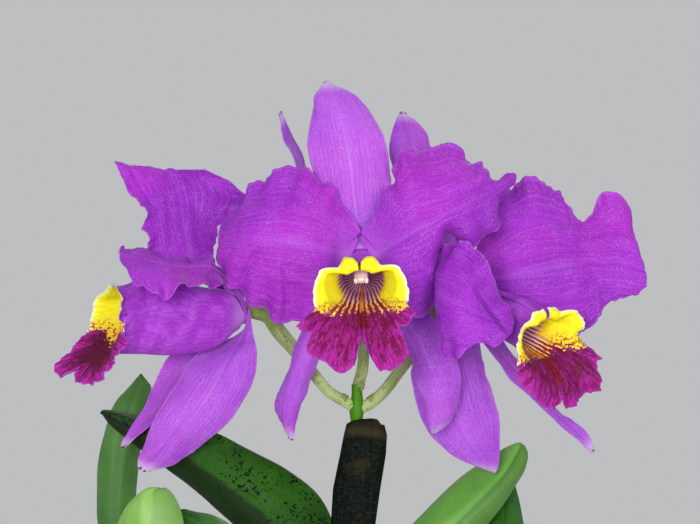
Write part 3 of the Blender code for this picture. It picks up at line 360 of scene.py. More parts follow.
# Lip margins: degrees round from the bottom of the mouth, length beyond the mouth, how far it turns back
LIP_MARGINS = {
    "bloom_centre": [(-175, 5, 165), (-166, 9, 168), (-155, 10.5, 170), (-143, 8.5, 165), (-132, 4.5, 130),
                     (-108, 4, 90), (-80, 6.5, 85), (-59.5, 9, 85), (-57, 23, 75), (-45, 22, 72),
                     (-40, 30, 72), (-28, 31, 72), (-14, 34, 72), (-6, 30, 72), (-2, 16, 72), (5, 26, 72),
                     (9, 34, 72), (22, 34, 72), (31, 30, 72), (37, 17, 72), (57, 16.5, 75), (59.5, 9, 85),
                     (80, 6.5, 85), (108, 4, 90), (132, 4.5, 130), (143, 8.5, 165), (155, 10.5, 170),
                     (166, 9, 168), (175, 5, 165)],
    "bloom_left": [(-165, 2, 70), (-150, 2, 70), (-134, 2.5, 70), (-118, 4, 60), (-95, 5, 45), (-74, 6, 30),
                   (-62, 9, 15), (-54, 13, 10), (-40, 17, 20), (-26, 26, 20), (-16, 27, 20), (-6, 25, 25),
                   (0, 17, 30), (6, 23, 45), (14, 23, 60), (26, 21, 72), (38, 17, 85), (50, 14.5, 95),
                   (62, 12.5, 110), (70, 7, 105), (84, 6, 90), (108, 5, 85), (124, 4, 80), (150, 2, 70),
                   (165, 2, 70)],
    "bloom_right": [(-165, 6, 140), (-150, 8, 150), (-136, 6, 130), (-120, 5, 95), (-100, 5, 85),
                    (-76, 6, 90), (-60, 10, 100), (-48, 15, 100), (-34, 18, 95), (-15, 23, 90), (-4, 25, 90),
                    (0, 21, 90), (4, 25, 90), (12, 26, 90), (25, 24, 82), (34, 28, 70), (40, 23, 72),
                    (50, 16.5, 78), (56, 18.5, 60), (62, 12, 80), (72, 7, 110), (100, 7, 90), (120, 5, 95),
                    (136, 5, 130), (150, 7, 150), (165, 6, 140)],
}
LIP_WAVE = 1.4
LIP_WAVES = 9
# How far the margin has turned at its start, and how fast it turns
TURN_START = 20.0
TURN_SPEED = 1.25
# Where the mouth is drawn in below the rolled side lobes: from and to, degrees round and share of the tube
PINCH_ROUND = (112.0, 140.0)
PINCH_ALONG = (0.7, 1.0)

# Column: distance forward from the knob, height above the bloom's axis, radius
COLUMN = [(KNOB_FRONT + GAP, -0.6, 2.1), (10, -0.8, 2.4), (18, -1.2, 2.6), (26, -2.4, 3.0), (31, -4.6, 3.2),
          (33, -6.4, 2.4)]
COLUMN_NECK = 6.0

# Sheath: height up it (0 to 1), middle across, half width, half thickness
SHEATH = [(0.0, -2.0, 6.0, 5.0), (0.2, -0.5, 8.0, 5.4), (0.47, 1.4, 10.1, 5.6), (0.65, 3.0, 10.8, 5.8),
          (0.83, 6.0, 10.5, 5.7), (0.93, 7.0, 9.9, 5.2), (1.0, 7.0, 8.6, 4.4)]

# The waves fade in from the claw and out at the tip, and the two margins beat differently
WAVE_START = 0.25
WAVE_END = 0.08
WAVE_POWER = 2.5
SIDE_BEAT = 1.13
SIDE_SHIFT = 2.1

# Finer blade nets: cells along and across, thickness, pleats, crepe, midrib groove, nibbled margin, and
# ruffles as height, length, how closely they keep to the margin, and a number that sets their run
SEPAL_FRILL = {"along": 84, "across": 36, "thick": TEPAL_THICK, "pleat": 0.45, "crepe": 0.10, "keel": 0.5,
               "nibble": 0.10, "ruffles": ((0.35, 15.0, 3, 1), (0.12, 4.5, 8, 2))}
PETAL_FRILL = {"along": 132, "across": 72, "thick": TEPAL_THICK, "pleat": 0.7, "crepe": 0.14, "keel": 0.7,
               "nibble": 0.35, "ruffles": ((1.2, 12.0, 4, 1), (0.55, 4.6, 9, 2))}
LEAF_FRILL = {"along": 80, "across": 32, "thick": LEAF_THICK, "pleat": 0.5, "crepe": 0.05, "keel": 0.9,
              "nibble": 0.03, "ruffles": ((0.3, 40.0, 3, 1),)}
TEPALS = ("sepal_dorsal", "sepal_left", "sepal_right", "petal_left", "petal_right")
# Each kind of blade: its slow waves, its frill, and how far its waves shift from bloom to bloom
BLADE_KINDS = {"sepal": (SEPAL_NET, SEPAL_FRILL, 1.0), "petal": (PETAL_NET, PETAL_FRILL, 1.7)}

# Creases: from and to (x, z) as seen from the front, rise of one side over the other, width, reach
FOLDS = {
    "bloom_right_petal_left": [((6.6, -0.5), (18.6, -17.0), -3.4, 0.4, 8.0)],
    "bloom_centre_petal_left": [((-55.0, -7.6), (-48.5, 5.0), -1.6, 0.5, 7.0),
                                ((-35.2, 3.0), (-35.0, -24.0), 0.9, 0.8, 8.0)],
    "bloom_centre_petal_right": [((10.0, 3.0), (56.0, 32.0), 0.9, 1.2, 9.0)],
    "bloom_left_petal_left": [((-49.8, 63.4), (-40.6, 49.6), -1.6, 0.5, 6.0)],
    "bloom_left_lip": [((-42.7, -16.1), (-35.6, 4.3), 1.6, 0.5, 12.0),
                       ((-50.7, -4.1), (-45.0, 5.6), 1.0, 0.5, 6.0)],
}
# How much further a petal's claw reaches up over the dorsal sepal, at its first and second row
SHOULDER = {"petal": (4.4, 5.8), "sepal": (0.0, 0.0)}

# Finer lip: rows of its tube and of what flares from it, stations round it, ruffles as for the blades
LIP_TUBE_ROWS = 36
LIP_FLARE_ROWS = 40
LIP_AROUND = 181
LIP_RUFFLES = ((1.1, 9.0, 1.6, 3), (0.55, 3.6, 3.0, 5))
LIP_CREPE = 0.35
LIP_NIBBLE = 0.5
# How much lower the column's hooded tip lies than its first line
COLUMN_DIP = 1.2
# How far each lip's crimson rises above where the middle one's ends, and how much painted shade darkens its
# crimson away from the rim
LIP_RISE = {"bloom_centre": 0.0, "bloom_left": 5.6, "bloom_right": 3.4}
LIP_PAINTED_SHADE = {"bloom_centre": 0.0, "bloom_left": 0.75, "bloom_right": 0.4}
# The lips' side walls lap over each other above the column: degrees round, and share of the width apart
LIP_LAP = 192.0
LIP_APART = 0.055
# The rounded seat of the blades in front of the knob: radius, reach forward and back, rings, points round
SEAT = (6.1, 4.9, 2.4)
SEAT_NET = (24, 48)
# The column's rings and points round, and the flattening of its underside towards the tip
COLUMN_NET = (24, 24)
COLUMN_FLAT = 0.28

# The stalk is thinner above its sheath. Small bracts at the pedicels: first point on the line, and side
STALK_SLIM = 0.77
STALK_FOOT = 0.36
BRACT_START = {"bloom_centre": 1, "bloom_left": 5, "bloom_right": 5}
BRACT_TURN = {"bloom_centre": 2.2, "bloom_left": 2.6, "bloom_right": 0.4}
BRACT_POINTS = 4
BRACT_THICK = 0.4
# Half of the degrees that a bract spans at its foot, and its points across
BRACT_SPAN = 62.0
BRACT_ACROSS = 25
# Rows of the dry sheath outside and inside, points round it, and the thickness of its wall
SHEATH_NET = (60, 30, 96)
SHEATH_WALL = 0.8
# The core round the stalk that the sheath's inside closes on
SHEATH_CORE = 3.6

# Pseudobulb skins: rings, points round, furrows and their depth, joints and where the first one lies
BULB_NET = (120, 96)
BULB_FURROWS = 13
BULB_FURROW_DEPTH = 0.9
BULB_JOINTS = 5
BULB_JOINT_START = 0.09
# The husks round them: from and to (0 to 1), how far they gape, turn; their rows, points across, thickness
HUSKS = [(0.02, 0.30, 0.5, 0.4), (0.10, 0.56, 0.9, 2.5)]
HUSK_NET = (60, 61)
HUSK_THICK = 0.32
LEAF_SKINS = {"leaf_1": "fresh", "leaf_2": "spotted", "leaf_3": "older", "leaf_4": "young",
              "leaf_5": "shaded", "leaf_6": "shaded"}
# Length between two rings of the rhizome, and how far its roots wander sideways; points along both
RHIZOME_RINGED = 6.5
ROOT_WANDER = 1.1
RHIZOME_POINTS = 320
ROOT_POINTS = 110

# Pot and bark nets: points round each and round a drain hole, and the pot's longest cell
POT_ROUND = 144
BARK_ROUND = 64
DRAIN_SIDES = 40
POT_CELL = 3.0
# How uneven the pot is, the angle in degrees over which its edges stay sharp, and the bed's round edge
POT_UNEVEN = 0.25
POT_SHARP = 38.0
BED_EDGE = 1.5
# The ground that the chips lie on: rings, points round, depth of the solid bed below its top, depth and
# width of the dip under the rhizome and roots
GROUND_NET = (34, 96)
BED_DEPTH = 5.0
DIP_DEPTH = 5.0
DIP_WIDTH = (6.0, 15.0)
# Loose bark chips: spacing, size, roughness, and how far they keep from the pot's wall
CHIP_APART = 6.6
CHIP_SIZE = (13.0, 8.5, 3.6)
CHIP_ROUGH = 3.2
CHIP_CLEAR = 7.5

# Camera, and the width it sees at the plant, in metres except the sensor
SENSOR = 36.0
CAMERA_AWAY = 1.1
CAMERA_HEIGHT = 0.405
VIEW_WIDTH = 0.315

# Floor, sky and soft lights: name, place, aim, size and power
FLOOR_RADIUS = 1.6
FLOOR_ROUND = 128
SKY_COLOUR = (0.80, 0.81, 0.83, 1.0)
SKY_STRENGTH = 0.64
LIGHTS = [
    ("key", (-0.22, -1.4, 0.52), (0, 0, 0.38), 0.35, 11.6),
    ("fill", (0.6, -1.3, 0.3), (0, 0, 0.36), 0.9, 6.4),
    ("back", (0.3, 1.2, 1.1), (0, 0, 0.36), 0.9, 5.0),
]


def srgb(red, green, blue):
    """A colour as a screen shows it (0 to 255), in the linear numbers that a shader takes."""
    shares = [c / 255 for c in (red, green, blue)]
    linear = [c / 12.92 if c <= 0.04045 else ((c + 0.055) / 1.055) ** 2.4 for c in shares]
    return (*linear, 1.0)


class NodeTree:
    """Short ways to make the nodes of one tree, shared by materials and Geometry Nodes."""

    def put(self, socket, value):
        """Link a socket to another one, or set it to a plain value."""
        if isinstance(value, bpy.types.NodeSocket):
            self.tree.links.new(value, socket)
        else:
            socket.default_value = value

    def node(self, kind, inputs, **settings):
        """A new node of this kind, set and fed."""
        made = self.tree.nodes.new(kind)
        for key, value in settings.items():
            setattr(made, key, value)
        for socket, value in inputs.items():
            self.put(made.inputs[socket], value)
        return made

    def sum(self, way, *terms):
        """What a Math node makes of its terms."""
        return self.node("ShaderNodeMath", dict(enumerate(terms)), operation=way).outputs[0]


class Finish(NodeTree):
    """A material being made, with short names for the nodes that these finishes need."""

    def __init__(self, name, roughness, **fixed):
        self.mat = bpy.data.materials.new(name)
        self.mat.use_nodes = True
        self.tree = self.mat.node_tree
        self.shader = self.tree.nodes["Principled BSDF"]
        self.shader.inputs["Roughness"].default_value = roughness
        for socket, value in fixed.items():
            self.shader.inputs[socket.replace("_", " ")].default_value = value

    def place(self, stretch=(1, 1, 1)):
        """The point on the piece in metres, stretched along its axes."""
        where = self.node("ShaderNodeTexCoord", {}).outputs["Object"]
        if stretch == (1, 1, 1):
            return where
        return self.node("ShaderNodeMapping", {"Vector": where, "Scale": stretch}).outputs[0]

    def spread(self):
        """Along the blade from 0 to 1 and across it from -1 to 1, from the piece's own map."""
        where = self.node("ShaderNodeUVMap", {}, uv_map="blade").outputs[0]
        parts = self.node("ShaderNodeSeparateXYZ", {"Vector": where})
        return parts.outputs[0], self.sum("MULTIPLY_ADD", parts.outputs[1], 2.0, -1.0)

    def attribute(self, name):
        """One of the piece's own values."""
        return self.node("ShaderNodeAttribute", {}, attribute_name=name).outputs["Fac"]

    def joined(self, x, y, z=0.0):
        """A vector from its three parts."""
        return self.node("ShaderNodeCombineXYZ", {0: x, 1: y, 2: z}).outputs[0]

    def noise(self, vector, scale, detail=2.0, distortion=0.0):
        """Soft noise from 0 to 1; the scale is hills to a metre, where the vector is a place."""
        inputs = {"Vector": vector, "Scale": scale, "Detail": detail, "Distortion": distortion}
        return self.node("ShaderNodeTexNoise", inputs).outputs["Fac"]

    def cells(self, vector, scale):
        """How far the nearest of scattered points is."""
        return self.node("ShaderNodeTexVoronoi", {"Vector": vector, "Scale": scale}).outputs["Distance"]

    def band(self, value, low, high, start=0.0, end=1.0):
        """A smooth step: start below low, end above high."""
        inputs = {"Value": value, "From Min": low, "From Max": high, "To Min": start, "To Max": end}
        return self.node("ShaderNodeMapRange", inputs, interpolation_type="SMOOTHSTEP").outputs[0]

    def lines(self, value, width):
        """Thin lines where the value is whole, as wide as this share of their spacing."""
        away = self.sum("PINGPONG", value, 0.5)
        return self.band(away, 0.0, width, 1.0, 0.0)

    def mix(self, amount, under, over):
        """One colour laid over another, by this amount."""
        made = self.node("ShaderNodeMix", {}, data_type="RGBA")
        for socket, value in zip((made.inputs[0], made.inputs[6], made.inputs[7]), (amount, under, over)):
            self.put(socket, value)
        return made.outputs[2]

    def relief(self, height, depth, strength=1.0):
        """Bump of this depth in millimetres, over whatever bump is there already."""
        made = self.node("ShaderNodeBump", {"Height": height, "Distance": depth * MM, "Strength": strength})
        before = self.shader.inputs["Normal"].links
        if before:
            self.put(made.inputs["Normal"], before[0].from_socket)
        self.put(self.shader.inputs["Normal"], made.outputs[0])

    def done(self, colour, roughness=None):
        """The finished material."""
        self.put(self.shader.inputs["Base Color"], colour)
        if roughness is not None:
            self.put(self.shader.inputs["Roughness"], roughness)
        return self.mat


def painted_sparkle(f, skin, glint, amount):
    """A fine crystalline bump grain over the skin, with painted sparkle highlights in soft patches."""
    grain = f.noise(f.place(), 2600.0, 2.0)
    patch = f.band(f.noise(f.place(), 120.0, 3.0), 0.3, 0.7, 0.35 * amount, amount)
    sparkle = f.sum("MULTIPLY", f.band(grain, 0.5, 0.72), patch)
    f.relief(grain, 0.08, 0.4)
    # the sparkle lays the lighter glint colour over the skin as a painted highlight
    return f.mix(sparkle, skin, glint)


def tepal_finish(name, pale, body, deep, blush, glint, veins, throat, tip):
    """Petal or sepal skin: fanned veins, a pale claw, a crystalline grain and painted sparkle highlights."""
    f = Finish(name, 0.55, Specular_IOR_Level=0.15, Sheen_Weight=0.03, Sheen_Roughness=0.4)
    u, v = f.spread()
    side = f.sum("ABSOLUTE", v)
    drift = f.noise(f.place(), 60.0, 3.0)
    wander = f.sum("MULTIPLY_ADD", drift, 2.4, -1.2)
    fan = f.lines(f.sum("MULTIPLY_ADD", v, veins, wander), 0.3)
    twigs = f.lines(f.sum("MULTIPLY_ADD", v, veins * 2.7, f.sum("MULTIPLY", wander, 3.0)), 0.42)
    ribs = f.sum("MAXIMUM", f.sum("MULTIPLY", fan, 0.8), f.sum("MULTIPLY", twigs, 0.6))
    combed = f.joined(f.sum("MULTIPLY", u, 3.0), f.sum("MULTIPLY_ADD", v, veins * 3.0, wander))
    streaks = f.noise(combed, 1.0, 4.0)
    warmth = f.noise(f.place(), 19.0, 2.0)
    cloud = f.noise(f.place(), 34.0, 4.0)
    skin = f.mix(f.band(cloud, 0.34, 0.68), body, deep)
    skin = f.mix(f.band(warmth, 0.46, 0.62, 0.0, 0.6), skin, blush)
    skin = f.mix(f.band(streaks, 0.48, 0.72, 0.0, 0.2), skin, pale)
    skin = f.mix(f.sum("MULTIPLY", twigs, 0.24), skin, deep)
    skin = f.mix(f.sum("MULTIPLY", fan, f.band(streaks, 0.4, 0.6, 0.02, 0.15)), skin, pale)
    claw = f.sum("ADD", u, f.sum("MULTIPLY_ADD", side, 0.16, f.sum("MULTIPLY", drift, 0.12)))
    skin = f.mix(f.band(claw, throat[0], throat[1], 0.8, 0.0), skin, pale)
    keel = f.sum("MULTIPLY", f.band(side, 0.01, 0.10, 1.0, 0.0), f.band(u, 0.2, 0.95, 0.3, 0.08))
    skin = f.mix(keel, skin, pale)
    skin = f.mix(f.band(side, 0.93, 1.0, 0.0, 0.35), skin, pale)
    faded = f.band(f.sum("MULTIPLY_ADD", drift, 0.05, u), tip, 1.03, 0.0, 0.7)
    skin = f.mix(faded, skin, srgb(226, 206, 236))
    speck = f.sum("MULTIPLY", f.band(u, 0.975, 0.99), f.band(f.noise(f.place(), 700.0, 1.0), 0.5, 0.56))
    skin = f.mix(f.sum("MULTIPLY", speck, f.band(u, tip, tip + 0.02)), skin, srgb(60, 44, 40))
    # painted sparkle highlights in the glint colour
    skin = painted_sparkle(f, skin, glint, 0.55)
    f.relief(f.noise(f.place(), 420.0, 4.0), 0.6, 0.45)
    f.relief(ribs, 0.3, 0.5)
    return f.done(skin)


def lip_inside_finish():
    """The lip's inner face: striped throat, yellow side lobes with a pale rim, crimson front lobe."""
    f = Finish("lip_inside", 0.55, Specular_IOR_Level=0.15)
    turn, beyond, rim = (f.attribute(name) for name in ("turn", "beyond", "rim"))
    below, gloom = (f.attribute(name) for name in ("below", "gloom"))
    drift = f.sum("SUBTRACT", f.noise(f.place(), 220.0, 3.0), 0.5)
    flecks = f.sum("SUBTRACT", f.noise(f.place(), 800.0, 2.0), 0.5)
    side = f.sum("ABSOLUTE", turn)
    coarse = f.joined(f.sum("MULTIPLY", turn, 0.36), f.sum("MULTIPLY", beyond, 0.13))
    branch = f.noise(coarse, 1.0, 3.0, 0.9)
    fine = f.joined(f.sum("MULTIPLY", turn, 0.8), f.sum("MULTIPLY", beyond, 0.4))
    twigs = f.noise(fine, 1.0, 3.0, 1.2)
    veins = f.sum("MAXIMUM", f.band(branch, 0.46, 0.54), f.band(twigs, 0.5, 0.6, 0.0, 0.75))
    crimson = f.mix(f.band(rim, 0.0, 14.0, 0.0, 0.7), srgb(176, 34, 160), srgb(152, 14, 116))
    crimson = f.mix(f.sum("MULTIPLY", veins, f.band(rim, 0.5, 7.0, 0.45, 0.9)), crimson, srgb(100, 0, 42))
    crimson = f.mix(f.band(flecks, 0.06, 0.16, 0.0, 0.35), crimson, srgb(184, 52, 168))
    # painted shade: the crimson darkened away from the rim, by each bloom's own amount
    painted_shade = f.sum("MULTIPLY", f.band(f.sum("ADD", rim, f.sum("MULTIPLY", drift, 14.0)), 3.0, 12.0), gloom)
    crimson = f.mix(painted_shade, crimson, srgb(78, 0, 38))
    heart = f.sum("MULTIPLY", f.band(side, 1.0, 11.0, 1.0, 0.0), f.band(beyond, 9.0, 17.0, 1.0, 0.0))
    crimson = f.mix(heart, crimson, srgb(116, 2, 16))
    crimson = f.mix(f.band(rim, 0.0, 1.4, 0.6, 0.0), crimson, srgb(178, 70, 178))
    gold = f.mix(f.band(beyond, -17.0, -6.0), srgb(246, 196, 12), srgb(255, 246, 28))
    gold = f.mix(f.band(below, 4.0, 12.0, 0.0, 0.5), gold, srgb(250, 176, 60))
    gold = f.mix(f.band(rim, 0.2, 2.4, 0.85, 0.0), gold, srgb(236, 246, 200))
    rays = f.sum("ADD", f.sum("MULTIPLY", turn, 0.1), f.sum("MULTIPLY", drift, 0.7))
    bands = f.sum("PINGPONG", rays, 0.5)
    cream = f.mix(f.band(beyond, -16.0, -3.0), srgb(238, 196, 224), srgb(252, 214, 110))
    stripe = f.band(f.sum("ADD", bands, f.band(beyond, -12.0, -2.0, 0.0, 0.07)), 0.22, 0.29)
    throat = f.mix(stripe, cream, f.mix(f.band(beyond, -20.0, -6.0), srgb(160, 52, 108), srgb(134, 12, 44)))
    ridge = f.band(f.sum("ADD", side, f.sum("MULTIPLY", drift, 10.0)), 3.0, 5.5, 1.0, 0.0)
    throat = f.mix(ridge, throat, srgb(244, 158, 40))
    floor = f.band(f.sum("ADD", side, f.sum("MULTIPLY", drift, 24.0)), 38.0, 52.0, 1.0, 0.0)
    deep = f.band(beyond, -16.0, -10.0, 1.0, 0.0)
    ground = f.mix(f.sum("MAXIMUM", floor, deep), gold, throat)
    dots = f.sum("MULTIPLY", f.band(flecks, 0.0, 0.07), f.band(below, 5.0, 11.0, 0.0, 0.95))
    ground = f.mix(f.sum("MULTIPLY", dots, f.band(beyond, -10.0, -3.0)), ground, srgb(168, 40, 36))
    lower = f.sum("ADD", below, f.band(beyond, 9.0, 16.0, 0.0, 5.0))
    uneven = f.sum("ADD", flecks, f.sum("MULTIPLY", drift, 0.6))
    mottled = f.sum("ADD", lower, f.sum("MULTIPLY", uneven, 8.0))
    reached = f.band(f.sum("ADD", beyond, f.sum("MULTIPLY", flecks, 10.0)), -3.0, 0.0)
    lobe = f.sum("MULTIPLY", f.band(mottled, 12.0, 12.8), reached)
    # painted sparkle highlights in a pale pink glint colour
    skin = painted_sparkle(f, f.mix(lobe, ground, crimson), srgb(232, 150, 220), 0.12)
    f.relief(veins, 0.4, 0.5)
    return f.done(skin)


def lip_outside_finish():
    """The lip's outer face: violet, pale at the claw, netted with darker veins."""
    f = Finish("lip_outside", 0.55, Specular_IOR_Level=0.15, Sheen_Weight=0.03)
    turn, beyond, rim = (f.attribute(name) for name in ("turn", "beyond", "rim"))
    drift = f.sum("SUBTRACT", f.noise(f.place(), 150.0, 3.0), 0.5)
    veins = f.lines(f.sum("ADD", f.sum("MULTIPLY", turn, 0.1), f.sum("MULTIPLY", drift, 3.0)), 0.35)
    skin = f.mix(f.band(drift, -0.15, 0.2), srgb(156, 44, 190), srgb(176, 76, 206))
    skin = f.mix(f.sum("MULTIPLY", veins, 0.3), skin, srgb(126, 22, 166))
    skin = f.mix(f.band(beyond, -64.0, -50.0, 0.7, 0.0), skin, srgb(206, 160, 218))
    skin = f.mix(f.band(rim, 0.0, 2.0, 0.4, 0.0), skin, srgb(186, 110, 214))
    # painted sparkle highlights in a pale violet glint colour
    skin = painted_sparkle(f, skin, srgb(208, 150, 234), 0.42)
    f.relief(veins, 0.3, 0.4)
    return f.done(skin)


def column_finish():
    """The column: blush white, freckled with mauve."""
    f = Finish("column", 0.4, Specular_IOR_Level=0.4)
    drift = f.noise(f.place(), 300.0, 3.0)
    skin = f.mix(f.band(drift, 0.35, 0.65), srgb(248, 216, 238), srgb(230, 176, 218))
    skin = f.mix(f.band(f.noise(f.place((1, 1, 3)), 500.0), 0.62, 0.72, 0.0, 0.4), skin, srgb(190, 96, 160))
    f.relief(drift, 0.2, 0.4)
    return f.done(skin)


def anther_finish():
    """The anther cap and the teeth beside it: cream, tinged with pink."""
    f = Finish("anther_cap", 0.35, Specular_IOR_Level=0.5)
    drift = f.noise(f.place(), 420.0, 2.0)
    f.relief(drift, 0.2, 0.5)
    return f.done(f.mix(f.band(drift, 0.4, 0.6), srgb(246, 240, 214), srgb(226, 196, 214)))


def stem_finish(name, body, tint, fleck, flecks):
    """Flower stalk skin: smooth green, with purple-brown flecks on the pedicels."""
    f = Finish(name, 0.46, Specular_IOR_Level=0.22)
    drift = f.noise(f.place((1, 1, 0.4)), 90.0, 3.0)
    skin = f.mix(f.band(drift, 0.35, 0.7), body, tint)
    spots = f.band(f.noise(f.place(), 900.0, 2.0), 0.66 - flecks, 0.74 - flecks, 0.0, 0.8)
    skin = f.mix(spots, skin, fleck)
    f.relief(f.noise(f.place((1, 1, 0.2)), 700.0, 2.0), 0.2, 0.4)
    return f.done(skin)


def leaf_finish(name, body, pale, deep, spots, shine=0.35, hand=1.0, half_shade=0.0, half_shade_colour=(0.03, 0.05, 0.02, 1.0)):
    """Leathery leaf: waxy, finely grained, a pale keel, dark spots, and painted shade over the half to one
    hand.
    """
    f = Finish(name, 0.4, Specular_IOR_Level=shine)
    u, v = f.spread()
    side = f.sum("ABSOLUTE", v)
    drift = f.noise(f.place(), 45.0, 4.0)
    grain = f.lines(f.sum("ADD", f.sum("MULTIPLY", v, 34.0), f.sum("MULTIPLY", drift, 2.0)), 0.45)
    skin = f.mix(f.band(drift, 0.3, 0.7), body, pale)
    skin = f.mix(f.sum("MULTIPLY", grain, 0.16), skin, deep)
    speck = f.band(f.noise(f.place(), 420.0, 3.0), 0.58, 0.72, 0.0, 0.45)
    skin = f.mix(speck, skin, pale)
    blotch = f.noise(f.place(), 640.0, 3.0, 0.3)
    patchy = f.band(f.noise(f.place(), 70.0, 3.0), 0.4, 0.62, 0.0, 0.12)
    blotch = f.band(f.sum("ADD", blotch, patchy), 0.655, 0.695)
    skin = f.mix(f.sum("MULTIPLY", blotch, spots), skin, srgb(10, 16, 8))
    # painted shade: the half to one hand darkened towards the shade colour
    half = f.sum("MULTIPLY_ADD", v, hand, f.sum("MULTIPLY_ADD", drift, 0.3, -0.15))
    skin = f.mix(f.band(half, 0.04, 0.2, 0.0, half_shade), skin, half_shade_colour)
    gloom = f.band(f.noise(f.place(), 26.0, 2.0), 0.46, 0.66, 0.0, 0.6)
    skin = f.mix(f.sum("MULTIPLY", gloom, spots), skin, srgb(20, 32, 18))
    skin = f.mix(f.band(side, 0.0, 0.045, 0.55, 0.0), skin, pale)
    skin = f.mix(f.band(side, 0.965, 1.0, 0.0, 0.5), skin, srgb(120, 96, 52))
    skin = f.mix(f.band(u, 0.0, 0.10, 0.6, 0.0), skin, srgb(186, 190, 120))
    f.relief(grain, 0.15, 0.35)
    f.relief(f.noise(f.place(), 300.0, 3.0), 0.4, 0.25)
    return f.done(skin, f.band(f.noise(f.place(), 150.0, 3.0), 0.3, 0.7, 0.3, 0.46))


def bulb_finish():
    """Pseudobulb skin: furrowed, olive to yellow-green, painted shade in the furrows, brown at the joints.
    """
    f = Finish("pseudobulb", 0.42, Specular_IOR_Level=0.45, Coat_Weight=0.1, Coat_Roughness=0.35)
    u = f.spread()[0]
    drift = f.noise(f.place((1, 1, 0.25)), 120.0, 4.0)
    skin = f.mix(f.band(drift, 0.3, 0.7), srgb(112, 134, 58), srgb(150, 160, 84))
    furrow = f.attribute("furrow")
    # painted shade: darker in the furrows, by their depth
    skin = f.mix(f.sum("MULTIPLY", furrow, 0.6), skin, srgb(84, 88, 40))
    joint = f.lines(f.sum("MULTIPLY_ADD", u, 5.0, 0.45), 0.045)
    skin = f.mix(f.sum("MULTIPLY", joint, 0.7), skin, srgb(116, 84, 50))
    f.relief(joint, 0.5, 0.6)
    f.relief(drift, 0.4, 0.3)
    return f.done(skin)


def husk_finish(name, body, pale, dark):
    """Dry papery sheath: long fibres, blotches, a lighter torn edge."""
    f = Finish(name, 0.66, Specular_IOR_Level=0.15)
    u = f.spread()[0]
    fibres = f.noise(f.place((1, 1, 0.06)), 1100.0, 3.0)
    drift = f.noise(f.place(), 90.0, 4.0)
    skin = f.mix(f.band(fibres, 0.35, 0.65), body, dark)
    skin = f.mix(f.band(drift, 0.45, 0.75, 0.0, 0.45), skin, pale)
    skin = f.mix(f.band(f.sum("MULTIPLY_ADD", drift, 0.1, u), 0.93, 1.02, 0.0, 0.85), skin, pale)
    f.relief(fibres, 0.35, 0.6)
    return f.done(skin)


def sheath_finish():
    """The dried flower sheath: near black, finely wrinkled, rusty below its mouth and in patches."""
    f = Finish("flower_sheath", 0.6, Specular_IOR_Level=0.05)
    u = f.spread()[0]
    drift = f.noise(f.place(), 90.0, 4.0)
    fibres = f.noise(f.place((1, 1, 0.12)), 900.0, 3.0)
    wrinkles = f.noise(f.place((1, 1, 2.4)), 420.0, 4.0, 0.6)
    skin = f.mix(f.band(fibres, 0.35, 0.65), srgb(16, 22, 16), srgb(6, 10, 8))
    skin = f.mix(f.band(wrinkles, 0.48, 0.7, 0.0, 0.6), skin, srgb(38, 46, 34))
    mouth = f.sum("MULTIPLY_ADD", drift, 0.05, u)
    rusty = f.sum("MULTIPLY", f.band(mouth, 0.618, 0.648), f.band(mouth, 0.652, 0.68, 0.6, 0.12))
    rusty = f.sum("MAXIMUM", rusty, f.band(drift, 0.56, 0.74, 0.0, 0.36))
    skin = f.mix(rusty, skin, srgb(62, 54, 32))
    f.relief(wrinkles, 0.5, 0.6)
    f.relief(fibres, 0.25, 0.5)
    return f.done(skin)


def root_finish(name, body, pale):
    """Rhizome bark or the spongy skin of the roots: matt and rough, with soil in its pits."""
    f = Finish(name, 0.7)
    drift = f.noise(f.place(), 160.0, 5.0)
    skin = f.mix(f.band(drift, 0.35, 0.65), body, pale)
    rough = f.noise(f.place(), 900.0, 3.0)
    skin = f.mix(f.band(rough, 0.5, 0.75, 0.0, 0.4), skin, srgb(70, 56, 36))
    f.relief(rough, 0.5, 0.6)
    return f.done(skin)


def bark_finish():
    """Fir bark: rust and umber layers with pale corky flecks."""
    f = Finish("fir_bark", 0.85)
    layers = f.noise(f.place((1, 1, 3.5)), 130.0, 5.0, 0.4)
    patch = f.noise(f.place(), 55.0, 3.0)
    skin = f.mix(f.band(layers, 0.35, 0.62), srgb(62, 38, 26), srgb(122, 76, 48))
    skin = f.mix(f.band(patch, 0.45, 0.65, 0.0, 0.6), skin, srgb(92, 66, 54))
    skin = f.mix(f.band(f.cells(f.place(), 600.0), 0.0, 0.25, 0.35, 0.0), skin, srgb(178, 134, 96))
    f.relief(layers, 1.2, 0.8)
    return f.done(skin)


def clay_finish():
    """Unglazed clay: turning lines, mineral bloom towards the foot, darker and damp at the rim."""
    f = Finish("fired_clay", 0.85, Specular_IOR_Level=0.25)
    height = f.node("ShaderNodeSeparateXYZ", {"Vector": f.place()}).outputs[2]
    drift = f.noise(f.place(), 26.0, 5.0)
    skin = f.mix(f.band(drift, 0.3, 0.7), srgb(178, 104, 70), srgb(196, 124, 88))
    bloom = f.sum("MULTIPLY", f.band(f.noise(f.place((1, 1, 0.6)), 60.0, 6.0), 0.5, 0.72),
                  f.band(height, 0.0, 0.1, 0.75, 0.2))
    skin = f.mix(bloom, skin, srgb(226, 202, 184))
    grit = f.noise(f.place(), 1600.0, 2.0)
    skin = f.mix(f.band(grit, 0.62, 0.7, 0.0, 0.35), skin, srgb(120, 64, 44))
    turning = f.noise(f.joined(0.0, 0.0, f.sum("ADD", height, f.sum("MULTIPLY", drift, 0.002))), 900.0, 3.0)
    f.relief(turning, 0.25, 0.5)
    f.relief(grit, 0.2, 0.5)
    return f.done(skin, f.band(bloom, 0.0, 1.0, 0.8, 0.92))


def floor_finish():
    """A plain pale studio floor."""
    f = Finish("pale_floor", 0.9, Specular_IOR_Level=0.1)
    drift = f.noise(f.place(), 3.0, 3.0)
    return f.done(f.mix(f.band(drift, 0.3, 0.7), srgb(204, 204, 206), srgb(208, 208, 208)))


def unit(vector):
    """The direction of a vector, at length 1."""
    vector = np.asarray(vector, float)
    return vector / np.linalg.norm(vector)


